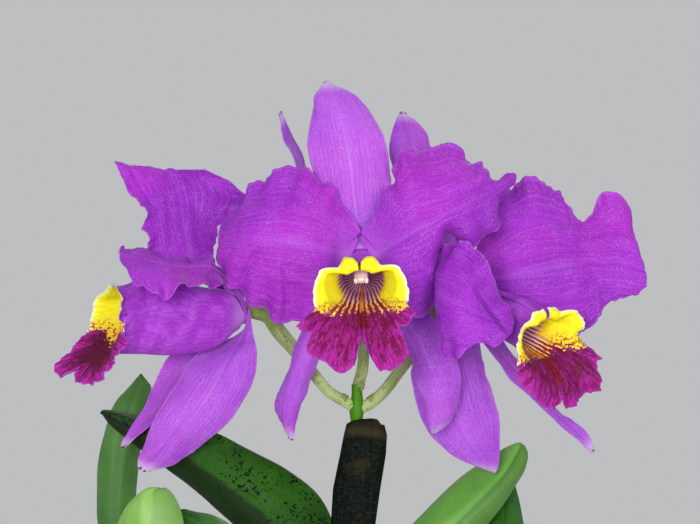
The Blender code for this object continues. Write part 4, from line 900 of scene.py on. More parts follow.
def spline(knots, at):
    """Points on the smooth curve through the knots; at runs from 0 to the number of spans."""
    knots = np.asarray(knots, float)
    padded = np.concatenate([2 * knots[:1] - knots[1:2], knots, 2 * knots[-1:] - knots[-2:-1]])
    at = np.asarray(at, float)
    span = np.clip(at.astype(int), 0, len(knots) - 2)
    t = (at - span).reshape(at.shape + (1,) * (knots.ndim - 1))
    a, b, c, d = (padded[span + k] for k in range(4))
    return 0.5 * (2 * b + (c - a) * t + (2 * a - 5 * b + 4 * c - d) * t ** 2
                  + (3 * b - a - 3 * c + d) * t ** 3)


def even_steps(knots, count):
    """Curve positions that cut the line through the knots into even lengths."""
    fine = np.linspace(0, len(knots) - 1, 40 * len(knots))
    line = spline(knots, fine)
    length = np.concatenate([[0], np.cumsum(np.linalg.norm(np.diff(line, axis=0), axis=1))])
    return np.interp(np.linspace(0, length[-1], count), length, fine)


def smooth_path(knots, count):
    """Evenly spaced points on the smooth curve through the knots."""
    return spline(knots, even_steps(knots, count))


def grid_normals(grid):
    """Directions square to a net of points, one at each."""
    normal = np.cross(np.gradient(grid, axis=0), np.gradient(grid, axis=1))
    return normal / np.maximum(np.linalg.norm(normal, axis=2, keepdims=True), 1e-9)


def soft_noise(x, y, seed):
    """Smooth hills from -1 to 1 over a plane, about one to a unit."""
    table = np.random.default_rng(seed).uniform(-1, 1, (64, 64))
    x, y = np.broadcast_arrays(np.asarray(x, float), np.asarray(y, float))
    i, j = np.floor(x).astype(int), np.floor(y).astype(int)
    s, t = x - i, y - j
    s, t = s * s * (3 - 2 * s), t * t * (3 - 2 * t)
    low = table[i % 64, j % 64] * (1 - s) + table[(i + 1) % 64, j % 64] * s
    high = table[i % 64, (j + 1) % 64] * (1 - s) + table[(i + 1) % 64, (j + 1) % 64] * s
    return low * (1 - t) + high * t


def soft_step(value, low, high):
    """A smooth step from 0 below low to 1 above high."""
    t = np.clip((value - low) / (high - low), 0, 1)
    return t * t * (3 - 2 * t)


def put_object(name, data):
    """A new object in the scene, at its origin."""
    obj = bpy.data.objects.new(name, data)
    bpy.context.scene.collection.objects.link(obj)
    return obj


def settled(obj):
    """The plain mesh that an object's modifiers make of it."""
    graph = bpy.context.evaluated_depsgraph_get()
    graph.update()
    return bpy.data.meshes.new_from_object(obj.evaluated_get(graph))


def face_outwards(mesh):
    """Turn all faces of a closed mesh outwards."""
    turned = bmesh.new()
    turned.from_mesh(mesh)
    bmesh.ops.recalc_face_normals(turned, faces=turned.faces)
    turned.to_mesh(mesh)
    turned.free()


def in_order(mesh):
    """The same mesh with its points and faces sorted, so that each run gives them in one order."""
    spots = [tuple(vert.co) for vert in mesh.vertices]
    order = sorted(range(len(spots)), key=lambda k: spots[k])
    number = {old: k for k, old in enumerate(order)}
    faces = []
    for face in mesh.polygons:
        loop = [number[k] for k in face.vertices]
        start = loop.index(min(loop))
        faces.append(loop[start:] + loop[:start])
    name = mesh.name
    bpy.data.meshes.remove(mesh)
    made = bpy.data.meshes.new(name)
    made.from_pydata([spots[k] for k in order], [], sorted(faces))
    return made


def put_mesh(name, points, faces, finishes, blade=None, values=(), face_finish=None):
    """A piece from points in millimetres, with its map along and across and its own values."""
    mesh = bpy.data.meshes.new(name)
    mesh.from_pydata((np.asarray(points) * MM).tolist(), [], [list(face) for face in faces])
    for finish in finishes:
        mesh.materials.append(finish)
    if blade is not None:
        corner = np.zeros(len(mesh.loops), int)
        mesh.loops.foreach_get("vertex_index", corner)
        layer = mesh.uv_layers.new(name="blade")
        layer.data.foreach_set("uv", np.asarray(blade, np.float32)[corner].ravel())
    for key, numbers in dict(values).items():
        layer = mesh.attributes.new(key, "FLOAT", "POINT")
        layer.data.foreach_set("value", np.asarray(numbers, np.float32))
    if face_finish is not None:
        mesh.polygons.foreach_set("material_index", np.asarray(face_finish, np.int32))
    mesh.shade_smooth()
    return dress(put_object(name, mesh))


def dress(obj):
    """A piece of the plant's one body."""
    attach(obj, "root")
    return obj


def net_faces(rows, cols):
    """Four-sided faces of a thin closed blade: the front, the back behind it and the rim."""
    a = (np.arange(rows - 1)[:, None] * cols + np.arange(cols - 1)).ravel()
    front = np.stack([a, a + cols, a + cols + 1, a + 1], axis=1)
    back = rows * cols
    loop = [i * cols for i in range(rows)]
    loop += [(rows - 1) * cols + j for j in range(1, cols)]
    loop += [i * cols + cols - 1 for i in range(rows - 2, -1, -1)]
    loop += [j for j in range(cols - 2, 0, -1)]
    p = np.array(loop)
    q = np.roll(p, -1)
    rim = np.stack([q, p, back + p, back + q], axis=1)
    return front, front[:, ::-1] + back, rim


def shell(grid, half):
    """Front and back points of a blade whose half thickness is given point by point."""
    shift = grid_normals(grid) * half[:, :, None]
    return np.concatenate([(grid + shift).reshape(-1, 3), (grid - shift).reshape(-1, 3)])


def margin_spaced(count, crowd=0.86):
    """Stations from -1 to 1 that crowd towards the margins."""
    return np.sin(np.linspace(-1, 1, count) * math.pi / 2 * crowd) / math.sin(math.pi / 2 * crowd)


def running(line):
    """The length run along a line at each of its points."""
    return np.concatenate([[0], np.cumsum(np.linalg.norm(np.diff(line, axis=0), axis=1))])


def fold(grid, normal, start, end, rise, width, reach):
    """Raise one side of a crease over the other; start and end are (x, z) as seen from the front."""
    start, end = np.array(start, float), np.array(end, float)
    along = end - start
    length = np.linalg.norm(along)
    along = along / length
    offset = grid[:, :, (0, 2)] - start
    run = offset @ along
    away = offset @ np.array((-along[1], along[0]))
    ends = soft_step(run, -0.15 * length, 0.2 * length) * soft_step(-run, -1.25 * length, -0.85 * length)
    lift = rise * np.tanh(away / width) * np.exp(-(away / reach) ** 2) * ends
    return grid + normal * lift[:, :, None]


def blade_surface(rows, net, frill, phase, seed, folds):
    """The blade that the rows describe, with ruffles, crimped margins, soft creases and crepe."""
    rows = np.asarray(rows, float)
    lines = spline(rows, even_steps(rows[:, 1], frill["along"] + 1))
    side = margin_spaced(frill["across"] + 1)[None, :]
    v = side[:, :, None]
    left, rib, right = lines[:, 0, None], lines[:, 1, None], lines[:, 2, None]
    grid = rib + (right - left) / 2 * v + ((left + right) / 2 - rib) * v ** 2
    u = np.linspace(0, 1, frill["along"] + 1)[:, None]
    turn = 2 * np.pi * net["waves"] * u + phase
    shape = np.where(side < 0, np.sin(turn), np.sin(turn * SIDE_BEAT + SIDE_SHIFT))
    fade = np.clip(u / WAVE_START, 0, 1) * np.clip((1 - u) / WAVE_END, 0.25, 1)
    lift = net["wave"] * np.abs(side) ** WAVE_POWER * shape * fade
    edge = np.where(side < 0, running(lines[:, 0])[:, None], running(lines[:, 2])[:, None])
    flank = np.sign(side) * 9.0
    young = soft_step(u, 0.06, 0.3)
    for height, length, power, step in frill["ruffles"]:
        beat = edge / length + 0.8 * soft_noise(edge / length * 0.6, flank, seed + step)
        uneven = 0.65 + 0.5 * soft_noise(edge / length * 0.35, flank + 3, seed + step)
        lift = lift + height * np.abs(side) ** power * np.sin(2 * np.pi * beat) * uneven * young
    width = np.linalg.norm(lines[:, 2] - lines[:, 0], axis=1)[:, None] / 2
    way = running(lines[:, 1])[:, None]
    lift = lift + frill["pleat"] * soft_noise(way / 26.0, side * width / 3.2, seed + 11) * young
    lift = lift + frill["crepe"] * soft_noise(way / 2.6, side * width / 1.5, seed + 12) * young
    lift = lift + frill["keel"] * np.exp(-(side * width / 1.3) ** 2) * soft_step(u, 0.0, 0.1)
    normal = grid_normals(grid)
    grid = grid + normal * lift[:, :, None]
    out = (lines[:, 2] - lines[:, 0])[:, None] / np.maximum(2 * width, 1e-6)[:, :, None]
    nibble = frill["nibble"] * soft_noise(edge / 1.9, flank, seed + 13) * np.abs(side) ** 9 * young
    bites = soft_noise(edge / 7.0, flank, seed + 14) * np.abs(side) ** 5 * young
    nibble = nibble + frill["nibble"] * 1.6 * bites
    grid = grid + out * (np.sign(side) * nibble)[:, :, None]
    for crease in folds:
        grid = fold(grid, normal, *crease)
    half = frill["thick"] / 2 * (1 - 0.55 * np.abs(side) ** 3) * (1 - 0.35 * soft_step(u, 0.9, 1.0))
    spread = np.stack(np.broadcast_arrays(u, (side + 1) / 2), axis=2).reshape(-1, 2)
    return grid, half, spread


def put_blade(name, node, surface, finish, centre=(0, 0, 0)):
    """A finished blade, closed behind and round its rim, in place of its node."""
    grid, half, spread = surface
    front, back, rim = net_faces(*grid.shape[:2])
    points = shell(grid + np.array(centre, float), half)
    obj = put_mesh(name, points, np.concatenate([front, back, rim]), [finish],
                   blade=np.concatenate([spread, spread]))
    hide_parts(node)


def put_wrap(name, rows, thick, finish):
    """A thin wrap from its rows of points, mapped along and across."""
    grid = np.array(rows)
    shape = grid.shape[:2]
    steps = np.linspace(0, 1, shape[0])[:, None], np.linspace(0, 1, shape[1])[None, :]
    spread = np.stack(np.broadcast_arrays(*steps), axis=2).reshape(-1, 2)
    faces = np.concatenate(net_faces(*shape))
    put_mesh(name, shell(grid, np.full(shape, thick / 2)), faces, [finish],
             blade=np.concatenate([spread, spread]))


def bloom_axes(bloom):
    """The bloom's own right-hand, upward and forward directions, seen from in front of it."""
    forward = unit(bloom["facing"])
    right = unit(np.cross(bloom["up"], forward))
    return right, np.cross(forward, right), forward


def claw_rows(bloom, part):
    """The first two rows of a blade, where its claw leaves the knob."""
    right, up, forward = bloom_axes(bloom)
    degrees, ahead = CLAWS[part]
    angle = math.radians(degrees)
    out = math.cos(angle) * right + math.sin(angle) * up
    side = math.sin(angle) * right - math.cos(angle) * up
    first = np.array(bloom[part][0], float)
    if np.dot(first[2] - first[0], side) < 0:
        side = -side
    rows = []
    upper = 1 if np.dot(side, up) > 0 else 0
    for (reach, width), shoulder in zip(CLAW, SHOULDER[part.split("_")[0]]):
        middle = out * reach + forward * ahead
        ends = [middle - side * width / 2, middle + side * width / 2]
        ends[upper] = ends[upper] + side * shoulder * (2 * upper - 1)
        rows.append((ends[0], middle, ends[1]))
    return rows


def lip_axes(bloom):
    """Sideways, upward and forward for the lip, whose tube need not point where the bloom does."""
    axis = unit(bloom["lip"]["axis"])
    right = bloom_axes(bloom)[0]
    right = unit(right - axis * np.dot(right, axis))
    return right, np.cross(axis, right), axis


def lip_surface(name, bloom, seed):
    """A trumpet open along its top: tube, rolled side lobes and a long notched front lobe."""
    right, up, axis = lip_axes(bloom)
    tube = LIP_TUBES[name]
    degrees, lengths, turns = (np.array(c, float) for c in zip(*LIP_MARGINS[name]))
    end = tube[-1][-1]
    stations = np.unique(np.concatenate([np.linspace(-end, end, LIP_AROUND), np.linspace(-7, 7, 15),
                                         np.linspace(-61, -54, 8), np.linspace(54, 61, 8)]))
    size = np.abs(stations)
    reach = np.interp(stations, degrees, lengths)
    turn_end = np.interp(stations, degrees, turns)
    drawn_in = bloom["lip"]["pinch"] * soft_step(size, *PINCH_ROUND)
    near = np.where(np.abs(stations[:, None] - stations) < 7.0, reach, 0.0).max(axis=1)
    whole = np.where(size < 54.0, np.maximum(near, reach), reach)
    mouth = tube[-1][0]
    rows, beyond = [], []
    steps = even_steps([(k[0], 0, 0) for k in tube], LIP_TUBE_ROWS + 1)
    for ahead, width, height, drop, close in spline(tube, steps):
        lap = float(soft_step(ahead, 10.0, 22.0) * soft_step(mouth - ahead, 3.0, 14.0))
        angle = np.radians(stations * (close + (LIP_LAP - close) * lap) / end)[:, None]
        apart = 1 + LIP_APART * lap * stations[:, None] / end
        ring = (np.sin(angle) * right * width - np.cos(angle) * up * height) * apart
        pinch = 1 - drawn_in * soft_step(ahead / mouth, *PINCH_ALONG)
        rows.append(ahead * axis - drop * up + ring * pinch[:, None])
        beyond.append(np.full(len(stations), ahead - mouth))
    angle = np.radians(stations)
    radial = np.sin(angle)[:, None] * right - np.cos(angle)[:, None] * up
    turn_end = np.radians(turn_end)
    turn_start = np.minimum(math.radians(TURN_START), turn_end)
    point = rows[-1]
    edge = running(point + radial * reach[:, None])
    smooth = 1 - 0.8 * soft_step(size, 105, 125)
    calm = np.clip(reach / 12, 0.15, 1) * smooth
    for k in range(LIP_FLARE_ROWS):
        t = (k + 0.5) / LIP_FLARE_ROWS
        s = t * reach / whole
        bend = (turn_start + (turn_end - turn_start) * np.minimum(1.0, TURN_SPEED * s))[:, None]
        step = np.cos(bend) * axis + np.sin(bend) * radial
        point = point + step * (reach / LIP_FLARE_ROWS)[:, None]
        across = np.cos(bend) * radial - np.sin(bend) * axis
        ruffle = LIP_WAVE * s ** 2 * np.sin(LIP_WAVES * angle) * np.minimum(1, whole / 12) * smooth
        for height, length, power, number in LIP_RUFFLES:
            beat = edge / length + 0.5 * soft_noise(edge / length * 0.7, number, seed)
            ruffle = ruffle + height * calm * s ** power * np.sin(2 * np.pi * beat)
        crepe = LIP_CREPE * soft_noise(edge / 1.3, t * reach / 3.0, seed + 5) * soft_step(t, 0, 0.2) * calm
        tear = soft_noise(edge / 2.1, 4.0, seed + 6) + soft_noise(edge / 0.9, 9.0, seed + 7)
        tear = LIP_NIBBLE * calm * smooth * tear
        rows.append(point - across * (ruffle + crepe)[:, None] + step * (tear * t ** 5)[:, None])
        beyond.append(t * reach)
    grid = np.array(rows)
    normal = grid_normals(grid)
    for crease in FOLDS.get(f"{name}_lip", ()):
        grid = fold(grid, normal, *crease)
    # gloom is each bloom's amount of painted shade on its crimson
    values = {"beyond": np.array(beyond), "rim": reach - np.array(beyond),
              "turn": np.broadcast_to(stations, grid.shape[:2]),
              "below": -(grid @ up) - tube[-1][3] + LIP_RISE[name],
              "gloom": np.full(grid.shape[:2], LIP_PAINTED_SHADE[name])}
    return np.array(bloom["centre"], float) + grid, values


def make_lip(name, bloom, seed, inside, outside):
    """The lip, with one finish on its inner face and another outside."""
    grid, values = lip_surface(name, bloom, seed)
    half = LIP_THICK / 2 * np.clip(values["rim"] / 4.0, 0.45, 1)
    front, back, edge = net_faces(*grid.shape[:2])
    kinds = np.repeat((0, 1, 1), (len(front), len(back), len(edge)))
    values = {key: np.tile(numbers.ravel(), 2) for key, numbers in values.items()}
    obj = put_mesh(f"{name}_lip_skin", shell(grid, half), np.concatenate([front, back, edge]),
                   [inside, outside], values=values, face_finish=kinds)
    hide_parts(f"{name}_lip")


def loft_faces(rings, count):
    """Faces of a skin over rings, closed by a fan round the middle point of each end."""
    faces = []
    for k in range((rings - 1) * count):
        a, b = k, k + 1 if (k + 1) % count else k + 1 - count
        faces.append((a, b, b + count, a + count))
    foot, top, last = rings * count, rings * count + 1, (rings - 1) * count
    for j in range(count):
        k = (j + 1) % count
        faces.append((foot, k, j))
        faces.append((top, last + j, last + k))
    return faces


def tube_frames(path):
    """Two directions square to a path at each of its points, turned as little as may be."""
    path = np.asarray(path, float)
    tangents = np.gradient(path, axis=0)
    start = (0.0, 1.0, 0.0) if abs(unit(tangents[0])[1]) < 0.9 else (1.0, 0.0, 0.0)
    side = np.cross(tangents[0], start)
    frames = []
    for tangent in tangents:
        tangent = unit(tangent)
        side = unit(side - tangent * np.dot(side, tangent))
        frames.append((side, np.cross(tangent, side)))
    return frames


def lofted(name, rings, finishes, values=()):
    """A closed skin over rings of points, mapped along and around."""
    rings = np.asarray(rings, float)
    number, count = rings.shape[:2]
    ends = [rings[0].mean(axis=0), rings[-1].mean(axis=0)]
    points = np.concatenate([rings.reshape(-1, 3), ends])
    along = np.repeat(np.linspace(0, 1, number), count)
    around = np.tile(np.linspace(0, 1, count, endpoint=False), number)
    blade = np.concatenate([np.stack([along, around], axis=1), [(0, 0.5), (1, 0.5)]])
    mesh = bpy.data.meshes.new(name)
    mesh.from_pydata((points * MM).tolist(), [], loft_faces(number, count))
    face_outwards(mesh)
    faces = [tuple(face.vertices) for face in mesh.polygons]
    bpy.data.meshes.remove(mesh)
    values = {key: np.concatenate([numbers, [0, 0]]) for key, numbers in dict(values).items()}
    return put_mesh(name, points, faces, finishes, blade=blade, values=values)


def make_column(name, bloom, skin, cap):
    """The column: a club hooded at its tip, its underside flattened towards the tip, and the anther cap
    under the hood.
    """
    right, up, axis = lip_axes(bloom)
    forward = unit(bloom["facing"])
    centre = np.array(bloom["centre"], float)
    knots = [centre + forward * min(a, COLUMN_NECK) + axis * max(a - COLUMN_NECK, 0)
             + up * (h - COLUMN_DIP * soft_step(a, 10, 33)) for a, h, r in COLUMN]
    count, around = COLUMN_NET
    at = np.linspace(0, len(COLUMN) - 1, count)
    path = spline(knots, at)
    radii = spline([(r, r) for a, h, r in COLUMN], at)[:, 0]
    turns = np.linspace(0, 2 * np.pi, around, endpoint=False)
    rings = []
    for point, radius, t in zip(path, radii, np.linspace(0, 1, count)):
        flat = 1 - COLUMN_FLAT * soft_step(t, 0.5, 0.85) * (np.sin(turns) < 0) * np.abs(np.sin(turns))
        ring = radius * (np.cos(turns)[:, None] * right + (np.sin(turns) * flat)[:, None] * up)
        rings.append(point + ring)
    obj = lofted(f"{name}_column_skin", rings, [skin])
    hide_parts(f"{name}_column")
    angles = np.linspace(-np.pi / 2 + 0.05, np.pi / 2 - 0.05, 12)
    for hand in (-1, 0, 1):
        tip = path[-3] - up * (1.2 if hand else 0.6) + axis * 0.7 + right * 2.3 * hand
        balls = []
        for lean in angles:
            ring = math.cos(lean) * (np.cos(turns)[:, None] * right * (1.0 if hand else 1.7)
                                     + np.sin(turns)[:, None] * axis)
            balls.append(tip - up * (1.5 if hand else 1.1) * math.sin(lean) + ring)
        lofted(f"{name}_column_tooth_{hand + 2}", balls, [cap])


def make_seat(name, bloom, finish):
    """The rounded seat in front of the knob, where the claws of all the blades run together."""
    right, up, forward = bloom_axes(bloom)
    radius, ahead, behind = SEAT
    number, around = SEAT_NET
    turns = np.linspace(0, 2 * np.pi, around, endpoint=False)
    rings = []
    for lean in np.radians(np.linspace(-86, 86, number)):
        ring = math.cos(lean) * radius * (np.cos(turns)[:, None] * right + np.sin(turns)[:, None] * up)
        reach = math.sin(lean) * (ahead if lean > 0 else behind)
        rings.append(np.array(bloom["centre"], float) + forward * reach + ring)
    values = {"turn": np.tile(np.degrees(turns), number), "beyond": np.full(number * around, -48.0),
              "rim": np.full(number * around, 9.0)}
    lofted(f"{name}_seat", rings, [finish], values=values)


def make_bloom(name, bloom, number, finishes):
    """One bloom: its five blades, its lip, its column and the seat that they spread from."""
    for part in TEPALS:
        kind = part.split("_")[0]
        net, frill, beat = BLADE_KINDS[kind]
        rows = np.concatenate([claw_rows(bloom, part), np.array(bloom[part], float)])
        seed = 100 * number + 10 * TEPALS.index(part)
        folds = FOLDS.get(f"{name}_{part}", ())
        surface = blade_surface(rows, net, frill, number * beat + len(part), seed, folds)
        put_blade(f"{name}_{part}_skin", f"{name}_{part}", surface, finishes[kind], bloom["centre"])
    make_lip(name, bloom, number + 40, finishes["lip_inside"], finishes["lip_outside"])
    make_column(name, bloom, finishes["column"], finishes["anther"])
    make_seat(name, bloom, finishes["lip_outside"])


class Recipe(NodeTree):
    """A Geometry Nodes tree being made."""

    def __init__(self, name, inputs):
        self.tree = bpy.data.node_groups.new(name, "GeometryNodeTree")
        kinds = {"Geometry": "NodeSocketGeometry", "Finish": "NodeSocketMaterial"}
        kinds.update(inputs)
        self.sockets = {}
        for label, kind in kinds.items():
            made = self.tree.interface.new_socket(label, in_out="INPUT", socket_type=kind)
            self.sockets[label] = made.identifier
        self.tree.interface.new_socket("Geometry", in_out="OUTPUT", socket_type="NodeSocketGeometry")
        self.given = self.tree.nodes.new("NodeGroupInput")

    def wanted(self, label):
        """One of the tree's named inputs."""
        return self.given.outputs[label]

    def scaled(self, vector, size):
        """A vector, longer by this size."""
        return self.node("ShaderNodeVectorMath", {0: vector, "Scale": size}, operation="SCALE").outputs[0]

    def end(self, geometry):
        """Realize Instances and Set Material come last."""
        real = self.node("GeometryNodeRealizeInstances", {"Geometry": geometry}).outputs[0]
        inputs = {"Geometry": real, "Material": self.wanted("Finish")}
        dressed = self.node("GeometryNodeSetMaterial", inputs).outputs[0]
        out = self.tree.nodes.new("NodeGroupOutput")
        self.tree.links.new(dressed, out.inputs[0])
        return self

    def cook(self, obj, name, **values):
        """The plain mesh that the tree makes of an object, which it then takes away."""
        modifier = obj.modifiers.new(name, "NODES")
        modifier.node_group = self.tree
        for label, value in values.items():
            modifier[self.sockets[label.replace("_", " ")]] = value
        mesh = settled(obj)
        obj.modifiers.remove(modifier)
        bpy.data.objects.remove(obj, do_unlink=True)
        mesh.name = name
        return put_object(name, mesh)


def stem_recipe():
    """A round stem along a curve: its skin ridged lengthwise and a little uneven."""
    r = Recipe("stem", {"Sides": "NodeSocketInt", "Uneven": "NodeSocketFloat", "Hills": "NodeSocketFloat",
                        "Ribs": "NodeSocketFloat"})
    ring = r.node("GeometryNodeCurvePrimitiveCircle", {"Resolution": r.wanted("Sides"), "Radius": 1.0})
    spot = r.node("GeometryNodeInputPosition", {}).outputs[0]
    parts = r.node("ShaderNodeSeparateXYZ", {"Vector": spot})
    turn = r.sum("ARCTAN2", parts.outputs[1], parts.outputs[0])
    beat = r.sum("COSINE", r.sum("MULTIPLY", turn, 6.0))
    grown = r.sum("MULTIPLY_ADD", beat, r.wanted("Ribs"), 1.0)
    ribbed = r.scaled(spot, grown)
    profile = r.node("GeometryNodeSetPosition", {"Geometry": ring.outputs[0], "Position": ribbed}).outputs[0]
    radius = r.node("GeometryNodeInputRadius", {}).outputs[0]
    tube = r.node("GeometryNodeCurveToMesh", {"Curve": r.wanted("Geometry"), "Profile Curve": profile,
                                              "Scale": radius, "Fill Caps": True}).outputs[0]
    hill = r.node("ShaderNodeTexNoise", {"Scale": r.wanted("Hills"), "Detail": 2.0}).outputs["Fac"]
    lift = r.sum("MULTIPLY", r.sum("SUBTRACT", hill, 0.5), r.wanted("Uneven"))
    normal = r.node("GeometryNodeInputNormal", {}).outputs[0]
    offset = r.scaled(normal, lift)
    moved = r.node("GeometryNodeSetPosition", {"Geometry": tube, "Offset": offset}).outputs[0]
    smooth = r.node("GeometryNodeSetShadeSmooth", {"Geometry": moved}).outputs[0]
    return r.end(smooth)


def chip_recipe():
    """Chips of bark strewn over a mesh, each turned, tilted and roughened its own way."""
    r = Recipe("bark_chips", {"Apart": "NodeSocketFloat", "Seed": "NodeSocketInt",
                              "Chip": "NodeSocketVector", "Rough": "NodeSocketFloat"})
    spots = r.node("GeometryNodeDistributePointsOnFaces",
                   {"Mesh": r.wanted("Geometry"), "Distance Min": r.wanted("Apart"), "Density Max": 60000.0,
                    "Seed": r.wanted("Seed")}, distribute_method="POISSON").outputs[0]
    block = r.node("GeometryNodeMeshCube", {"Size": r.wanted("Chip"), "Vertices X": 5, "Vertices Y": 4,
                                            "Vertices Z": 3}).outputs[0]
    turn = r.node("FunctionNodeRandomValue", {0: (-0.45, -0.45, 0.0), 1: (0.45, 0.45, 6.28), "Seed": 3},
                  data_type="FLOAT_VECTOR").outputs[0]
    size = r.node("FunctionNodeRandomValue", {0: (0.7, 0.65, 0.7), 1: (1.25, 1.2, 1.1), "Seed": 5},
                  data_type="FLOAT_VECTOR").outputs[0]
    chips = r.node("GeometryNodeInstanceOnPoints", {"Points": spots, "Instance": block, "Rotation": turn,
                                                    "Scale": size}).outputs[0]
    loose = r.node("GeometryNodeRealizeInstances", {"Geometry": chips}).outputs[0]
    jolt = r.node("ShaderNodeTexNoise", {"Scale": 190.0, "Detail": 3.0}).outputs["Color"]
    level = r.node("ShaderNodeVectorMath", {0: jolt, 1: (0.5, 0.5, 0.5)}, operation="SUBTRACT").outputs[0]
    offset = r.scaled(level, r.wanted("Rough"))
    return r.end(r.node("GeometryNodeSetPosition", {"Geometry": loose, "Offset": offset}).outputs[0])


def stem_curve(paths):
    """One curve object of several runs, each a list of points with a thickness at each."""
    curve = bpy.data.curves.new("stem_run", "CURVE")
    curve.dimensions = "3D"
    for points, thick in paths:
        run = curve.splines.new("POLY")
        run.points.add(len(points) - 1)
        for knot, point, radius in zip(run.points, points, thick):
            knot.co = (*(np.asarray(point) * MM), 1.0)
            knot.radius = radius * MM
    return put_object("stem_run", curve)


def stems(name, paths, finish, node, sides, uneven, hills, ribs=0.0, blend=0.0):
    """Round stems along their paths, run into each other where they meet."""
    made = STEM.cook(stem_curve(paths), name, Finish=finish, Sides=sides, Uneven=uneven * MM, Hills=hills,
                     Ribs=ribs)
    if blend:
        melt = made.modifiers.new("melt", "REMESH")
        melt.mode = "VOXEL"
        melt.voxel_size = blend * MM
        melt.use_smooth_shade = True
        ease = made.modifiers.new("ease", "SMOOTH")
        ease.factor = 0.5
        ease.iterations = 4
        mesh = settled(made)
        made.modifiers.clear()
        made.data = mesh
        mesh.materials.clear()
        mesh.materials.append(finish)
        mesh.shade_smooth()
    dress(made)
    if node:
        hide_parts(node)


def make_stalk(green, freckled):
    """The bright stalk, and its freckled pedicels that swell into ribbed ovaries."""
    trunk = smooth_path(TRUNK, 60)
    rise = trunk[:, 2] - SHEATH_TOP
    foot = STALK_FOOT * np.exp(-((rise - 4) / 4.6) ** 2)
    thick = STALK_RADIUS * (STALK_SLIM + 0.03 * np.cos(rise / 2.5) + foot)
    stems("green_stalk", [(trunk, thick)], green, "flower_stalk", 24, 0.25, 90.0)
    along = np.linspace(0, 1, 70)
    ovary = np.clip((along - OVARY_START) / (1 - OVARY_START), 0, 1)
    thick = PEDICEL_RADIUS * (1 - 0.08 * np.sin(math.pi * np.clip(along / OVARY_START, 0, 1))
                              - 0.1 * np.exp(-(along / 0.05) ** 2))
    thick = thick + OVARY_SWELL * np.sin(math.pi * ovary)
    runs = []
    for name, knots in PEDICELS.items():
        bloom = BLOOMS[name]
        centre, forward = np.array(bloom["centre"], float), unit(bloom["facing"])
        line = smooth_path([*knots, tuple(centre - forward * 1.5)], 70)
        runs.append((line, thick))
        lean = np.radians(np.linspace(-80, 62, 24))
        runs.append((centre + forward * KNOB_RADIUS * np.sin(lean)[:, None], KNOB_RADIUS * np.cos(lean)))
    stems("pedicels", runs, freckled, None, 36, 0.3, 140.0, ribs=0.06, blend=0.45)


def make_bracts(finish):
    """Small dry bracts at the foot of each pedicel."""
    for number, (name, knots) in enumerate(PEDICELS.items()):
        line = smooth_path(knots, 60)
        start = BRACT_START[name]
        run = line[start:start + BRACT_POINTS]
        frames = tube_frames(run)
        stations = np.radians(np.linspace(-BRACT_SPAN, BRACT_SPAN, BRACT_ACROSS))
        rows = []
        for k, point in enumerate(run):
            t = k / (len(run) - 1)
            a, b = frames[k]
            turned = BRACT_TURN[name] + stations * (1 - t) ** 0.6
            reach = PEDICEL_RADIUS + 0.2 * t ** 2
            rows.append(point + reach * (np.cos(turned)[:, None] * a + np.sin(turned)[:, None] * b))
        put_wrap(f"bract_{number + 1}", rows, BRACT_THICK, finish)


def make_sheath(finish):
    """A flattened dry pocket, creased lengthwise, its ragged mouth open round the stalk."""
    line = smooth_path(TRUNK, 80)
    outer, inner, around = SHEATH_NET
    turns = np.linspace(0, 2 * np.pi, around, endpoint=False)
    knots = np.array(SHEATH)
    rings = []
    heights = np.concatenate([np.linspace(0, 1, outer), np.linspace(1, 0.45, inner)])
    for k, t in enumerate(heights):
        inside = k >= outer
        middle, half, thick = (np.interp(t, knots[:, 0], knots[:, c]) for c in (1, 2, 3))
        z = SHEATH_FOOT + t * (SHEATH_TOP - SHEATH_FOOT)
        x, y = (float(np.interp(z, line[:, 2], line[:, c])) for c in (0, 1))
        crease = 0.45 * soft_noise(turns * 4.5, t * 2.0, 71) + 0.2 * soft_noise(turns * 14, t * 4.0, 72)
        lens = np.abs(np.sin(turns)) ** 1.25 * np.sign(np.sin(turns))
        wall = SHEATH_WALL * inside
        out = np.stack([middle + (half - wall + 0.4 * crease) * np.cos(turns),
                        y + (thick - 0.35 - wall + crease) * lens,
                        z - t ** 10 * (0.8 + 0.5 * soft_noise(turns * 2.4, 5.0, 73)
                                       + 3.2 * soft_step(np.cos(turns), 0.55, 1.0)
                                       + 2.2 * soft_step(-np.cos(turns), 0.5, 1.0))], axis=1)
        if inside:
            deep = soft_step(1 - t, 0.3, 0.55)
            core = np.stack([x + SHEATH_CORE * np.cos(turns), y + SHEATH_CORE * np.sin(turns), out[:, 2]],
                            axis=1)
            out = out * (1 - deep) + core * deep
        rings.append(out)
    obj = lofted("dry_sheath", rings, [finish])
    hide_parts("sheath")


def bulb_line(name, count):
    """The axis of a pseudobulb, from its foot to its apex."""
    foot, apex = BULBS[name][:2]
    start = np.array((*foot, BULB_FOOT), float)
    end = np.array(apex, float)
    middle = (start + end) / 2 + (start - end) * (BULB_BOW, BULB_BOW, 0)
    t = np.linspace(0, 1, count)[:, None]
    return (1 - t) ** 2 * start + 2 * t * (1 - t) * middle + t ** 2 * end


